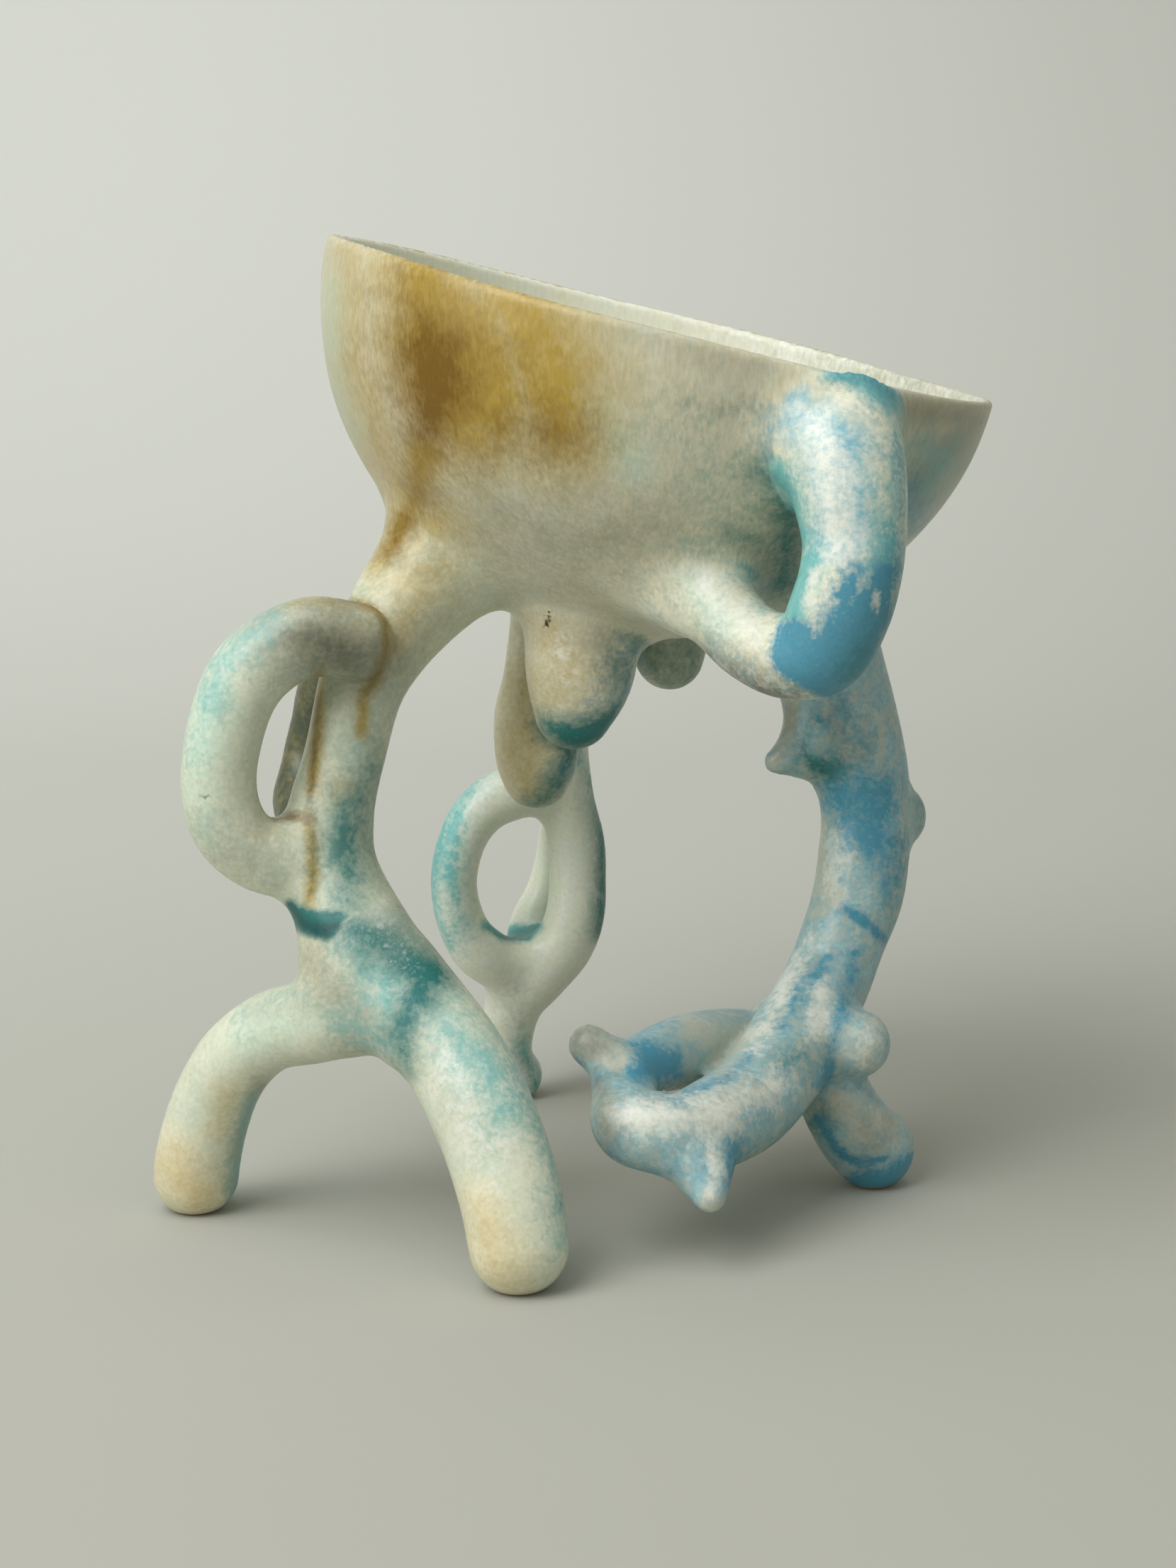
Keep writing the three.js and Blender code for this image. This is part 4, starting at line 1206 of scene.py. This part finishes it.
# Stoneware under a satin reactive glaze: the layers break into sponge-like mottles where they
# are thin, run down in fine fibres on the bowl, and take a soft, wide gloss. Both sizes were
# judged: mottles 1 to 8 mm across, and fibres 0.85 mm wide, as fine as a render shows.
def reactive_glaze(name):
    """The glaze of every piece, with the painted shade in its colours; a mix node's colours are
    its sockets 6 and 7.
    """
    material = bpy.data.materials.new(name)
    material.use_nodes = True
    tree = material.node_tree
    shader = tree.nodes["Principled BSDF"]
    where = node(tree, "ShaderNodeTexCoord").outputs["Object"]
    mottle = {}
    for key, size in (("drift", 8.0), ("sponge", 2.2), ("fine", 1.1)):
        mottle[key] = node(
            tree, "ShaderNodeTexNoise",
            {"Vector": where, "Scale": 1 / (size * MM), "Detail": 2, "Roughness": 0.6,
             "Distortion": 0.1},
        )
    squashed = node(
        tree, "ShaderNodeMapping", {"Vector": where, "Scale": (1, 1, 0.32)},
    ).outputs["Vector"]
    fibre = node(
        tree, "ShaderNodeTexNoise",
        {"Vector": squashed, "Scale": 1 / (0.85 * MM), "Detail": 4, "Roughness": 0.6},
    )
    grain = node(tree, "ShaderNodeAttribute", attribute_name="grain").outputs["Fac"]
    quick = node(
        tree, "ShaderNodeMix",
        {"Factor": grain, 6: mottle["fine"].outputs["Color"], 7: fibre.outputs["Color"]},
        data_type="RGBA",
    ).outputs[2]
    mixed = node(
        tree, "ShaderNodeMix",
        {"Factor": 0.5, 6: mottle["drift"].outputs["Color"], 7: mottle["sponge"].outputs["Color"]},
        data_type="RGBA",
    ).outputs[2]
    share = node(
        tree, "ShaderNodeMath", {0: grain, 1: 0.12, 2: 0.28}, operation="MULTIPLY_ADD",
    ).outputs[0]
    mixed = node(
        tree, "ShaderNodeMix", {"Factor": share, 6: mixed, 7: quick}, data_type="RGBA",
    ).outputs[2]
    channels = node(tree, "ShaderNodeSeparateColor", {"Color": mixed}).outputs
    colour = None
    for kind, (tint, broken, soft, hiding, channel) in GLAZES.items():
        mask = node(tree, "ShaderNodeAttribute", attribute_name=kind).outputs["Fac"]
        low = node(
            tree, "ShaderNodeMapRange",
            {"Value": channels[channel], "From Min": 0.41, "From Max": 0.59, "To Min": 0,
             "To Max": -broken},
        ).outputs[0]
        reach = node(
            tree, "ShaderNodeMath", {0: mask, 1: broken + soft, 2: low}, operation="MULTIPLY_ADD",
        ).outputs[0]
        cover = node(
            tree, "ShaderNodeMapRange",
            {"Value": reach, "From Min": 0, "From Max": soft, "To Max": hiding},
        ).outputs[0]
        under = colour or linear(CLAY)
        colour = node(
            tree, "ShaderNodeMix", {"Factor": cover, 6: under, 7: linear(tint)},
            data_type="RGBA",
        ).outputs[2]
    value = node(tree, "ShaderNodeSeparateColor", {"Color": quick}).outputs[1]
    light = node(
        tree, "ShaderNodeMapRange",
        {"Value": value, "From Min": 0.3, "From Max": 0.7, "To Min": 0.95, "To Max": 1.05},
    ).outputs[0]
    colour = node(
        tree, "ShaderNodeVectorMath", {0: colour, "Scale": light}, operation="SCALE",
    ).outputs[0]
    height = node(tree, "ShaderNodeSeparateXYZ", {"Vector": where}).outputs["Z"]
    bare = node(
        tree, "ShaderNodeMapRange",
        {"Value": height, "From Min": 0.4 * MM, "From Max": 1.1 * MM, "To Min": 1, "To Max": 0},
    ).outputs[0]
    colour = node(
        tree, "ShaderNodeMix", {"Factor": bare, 6: colour, 7: linear(BARE_FOOT)},
        data_type="RGBA",
    ).outputs[2]
    rough = node(
        tree, "ShaderNodeMapRange",
        {"Value": channels[1], "From Min": 0.35, "From Max": 0.65, "To Min": 0.26, "To Max": 0.42},
    ).outputs[0]
    rough = node(tree, "ShaderNodeMath", {0: rough, 1: bare}, operation="MAXIMUM").outputs[0]
    relief = node(
        tree, "ShaderNodeBump",
        {"Height": node(tree, "ShaderNodeSeparateColor", {"Color": mixed}).outputs[0],
         "Strength": 0.45, "Distance": 0.35 * MM},
    ).outputs[0]
    tree.links.new(colour, shader.inputs["Base Color"])
    tree.links.new(rough, shader.inputs["Roughness"])
    tree.links.new(relief, shader.inputs["Normal"])
    shader.inputs["IOR"].default_value = 1.46
    return material


def laid_on(mesh, name, values, kind="FLOAT"):
    """Keeps a value for each point of the skin."""
    held = mesh.attributes.new(name, kind, "POINT")
    held.data.foreach_set("vector" if kind == "FLOAT_VECTOR" else "value", values)


def normals_of(skin, points):
    """Puts the points in the skin and gives its way out at each of them."""
    skin.vertices.foreach_set("co", (points * MM).ravel())
    skin.update()
    normals = np.empty(len(skin.vertices) * 3)
    skin.vertices.foreach_get("normal", normals)
    return normals.reshape(-1, 3)


def scored(points, normals):
    """Leaves the groove where the loop's upper end was pressed onto the leg."""
    stops = [(474, 846, 1), (507, 850, 1), (533, 861, 2), (547, 884, 2), (548, 920, 1)]
    near = np.linalg.norm(points - np.array(MEMBERS["left_outer_loop"][0][0][:3]), axis=1) < 24
    facing = ((np.array(EYE) - points) * normals).sum(1) > 0
    groove = brushed(front_view(points), stops, 13) * near * facing
    return points - normals * (LOOP_GROOVE * groove)[:, None]


def held_in(points):
    """Eases back what stands past the box of the solids, over its last 8 mm."""
    for corner, way in zip(cad_box, (-1, 1)):
        past = way * (points - np.array(corner) / MM)
        most = np.maximum(past.max(0), 0)
        points = points - way * most * np.clip((past + 8) / (8 + most), 0, 1) ** 2
    return points


def parted_skin():
    """The finished skin, with its glazes laid on, parted into one object for each member."""
    skin = rough_clay()
    points = smooth_skin(skin)
    owner, points, under = owners(skin, points)
    pairs = edge_pairs(skin)
    points = sponged(pairs, points)
    normals = normals_of(skin, points)
    points = eased(pairs, points, normals)
    normals = normals_of(skin, points)
    points = held_in(scored(points, normals))
    normals = normals_of(skin, points)
    laid_on(skin, "way_out", normals.ravel(), "FLOAT_VECTOR")
    laid_on(skin, "under", under.astype(np.int32), "INT")
    for kind, mask in glaze_masks(points, normals).items():
        laid_on(skin, kind, mask.astype(np.float32))
    whole = bpy.data.objects.new("clay", skin)
    bpy.context.scene.collection.objects.link(whole)
    for name in ["bowl", *MEMBERS]:
        skin.materials.append(bpy.data.materials.new(name))
    skin.polygons.foreach_set("material_index", owner.astype(np.int32))
    bpy.ops.object.select_all(action="DESELECT")
    whole.select_set(True)
    bpy.context.view_layer.objects.active = whole
    bpy.ops.object.mode_set(mode="EDIT")
    bpy.ops.mesh.select_all(action="SELECT")
    bpy.ops.mesh.separate(type="MATERIAL")
    bpy.ops.object.mode_set(mode="OBJECT")
    return [o for o in bpy.data.objects if o.type == "MESH" and "way_out" in o.data.attributes]


def finish_piece(piece, glaze):
    """Closes a parted member and gives it its name, its glaze and the skin's own normals."""
    name = piece.data.materials[0].name
    piece.name = piece.data.name = name + "_clay"
    close_joints(piece, ["bowl", *MEMBERS].index(name))
    mesh = piece.data
    mesh.materials.clear()
    mesh.materials.append(glaze)
    mesh.polygons.foreach_set("material_index", np.zeros(len(mesh.polygons), np.int32))
    mesh.shade_smooth()
    ways = np.empty(len(mesh.vertices) * 3)
    mesh.attributes["way_out"].data.foreach_get("vector", ways)
    for spent in ("way_out", "under"):
        mesh.attributes.remove(mesh.attributes[spent])
    mesh.normals_split_custom_set_from_vertices(ways.reshape(-1, 3))
    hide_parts(name)
    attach(piece, "root")


glaze = reactive_glaze("satin_reactive_glaze")
for piece in parted_skin():
    finish_piece(piece, glaze)


# The studio

def camera():
    """A 29 degree view from the front, a little above the rim, looking slightly down."""
    data = bpy.data.cameras.new("camera")
    data.sensor_fit = "VERTICAL"
    data.sensor_height = 24
    data.lens = FOCAL / PICTURE[1] * 24
    view = bpy.data.objects.new("camera", data)
    view.location = EYE * MM
    view.rotation_euler = (math.pi / 2 - EYE_DROP, 0, 0)
    bpy.context.scene.collection.objects.link(view)
    bpy.context.scene.camera = view


def paper_sweep():
    """A wide sheet of pale paper that lies flat and bends up into a wall behind the bowl."""
    bm = bmesh.new()
    bend, start = 0.7, 0.55
    outline = [(-2.6, 0.0), (start, 0.0)]
    for k in range(1, 17):
        turn = k / 16 * math.pi / 2
        outline.append((start + bend * math.sin(turn), bend * (1 - math.cos(turn))))
    outline.append((start + bend, 3.0))
    verts = [bm.verts.new((-3.2, y, z)) for y, z in outline]
    edges = [bm.edges.new(pair) for pair in zip(verts, verts[1:])]
    wide = bmesh.ops.extrude_edge_only(bm, edges=edges)["geom"]
    moved = [v for v in wide if isinstance(v, bmesh.types.BMVert)]
    bmesh.ops.translate(bm, vec=(6.4, 0, 0), verts=moved)
    bmesh.ops.recalc_face_normals(bm, faces=bm.faces)
    paper = object_of(bm, "paper_sweep")
    paper.data.shade_smooth()
    material = bpy.data.materials.new("matt_paper")
    material.use_nodes = True
    shader = material.node_tree.nodes["Principled BSDF"]
    shader.inputs["Base Color"].default_value = linear("#AEAEA4")
    shader.inputs["Roughness"].default_value = 0.9
    paper.data.materials.append(material)


def lamp(name, stand, target, size, energy, colour="#FFFFFF", spread=180):
    """A square soft box aimed at a point; a grid on it can narrow its spread, in degrees."""
    light = bpy.data.lights.new(name, "AREA")
    light.size = size
    light.energy = energy
    light.color = linear(colour)[:3]
    light.spread = math.radians(spread)
    holder = bpy.data.objects.new(name, light)
    holder.location = stand
    holder.rotation_euler = (Vector(target) - Vector(stand)).to_track_quat("-Z", "Y").to_euler()
    bpy.context.scene.collection.objects.link(holder)


camera()
paper_sweep()
lamp("key", (-0.6, -0.68, 1.05), (0, 0, 0.1), 0.8, 9.8)
lamp("top", (-0.1, 0.0, 1.5), (0, 0, 0.1), 1.1, 4.2)
lamp("fill", (-1.05, -0.7, 0.55), (0, 0, 0.07), 0.9, 5)
lamp("wall", (-0.6, 0.1, 1.5), (-0.2, 1.2, 0.25), 0.8, 6.2, "#F0F4FF", 90)
world = bpy.data.worlds.new("studio_air")
world.use_nodes = True
air = world.node_tree.nodes["Background"]
air.inputs["Color"].default_value = linear("#E7E9E3")
air.inputs["Strength"].default_value = 0.56
bpy.context.scene.world = world
bpy.context.scene.view_settings.view_transform = "Standard"
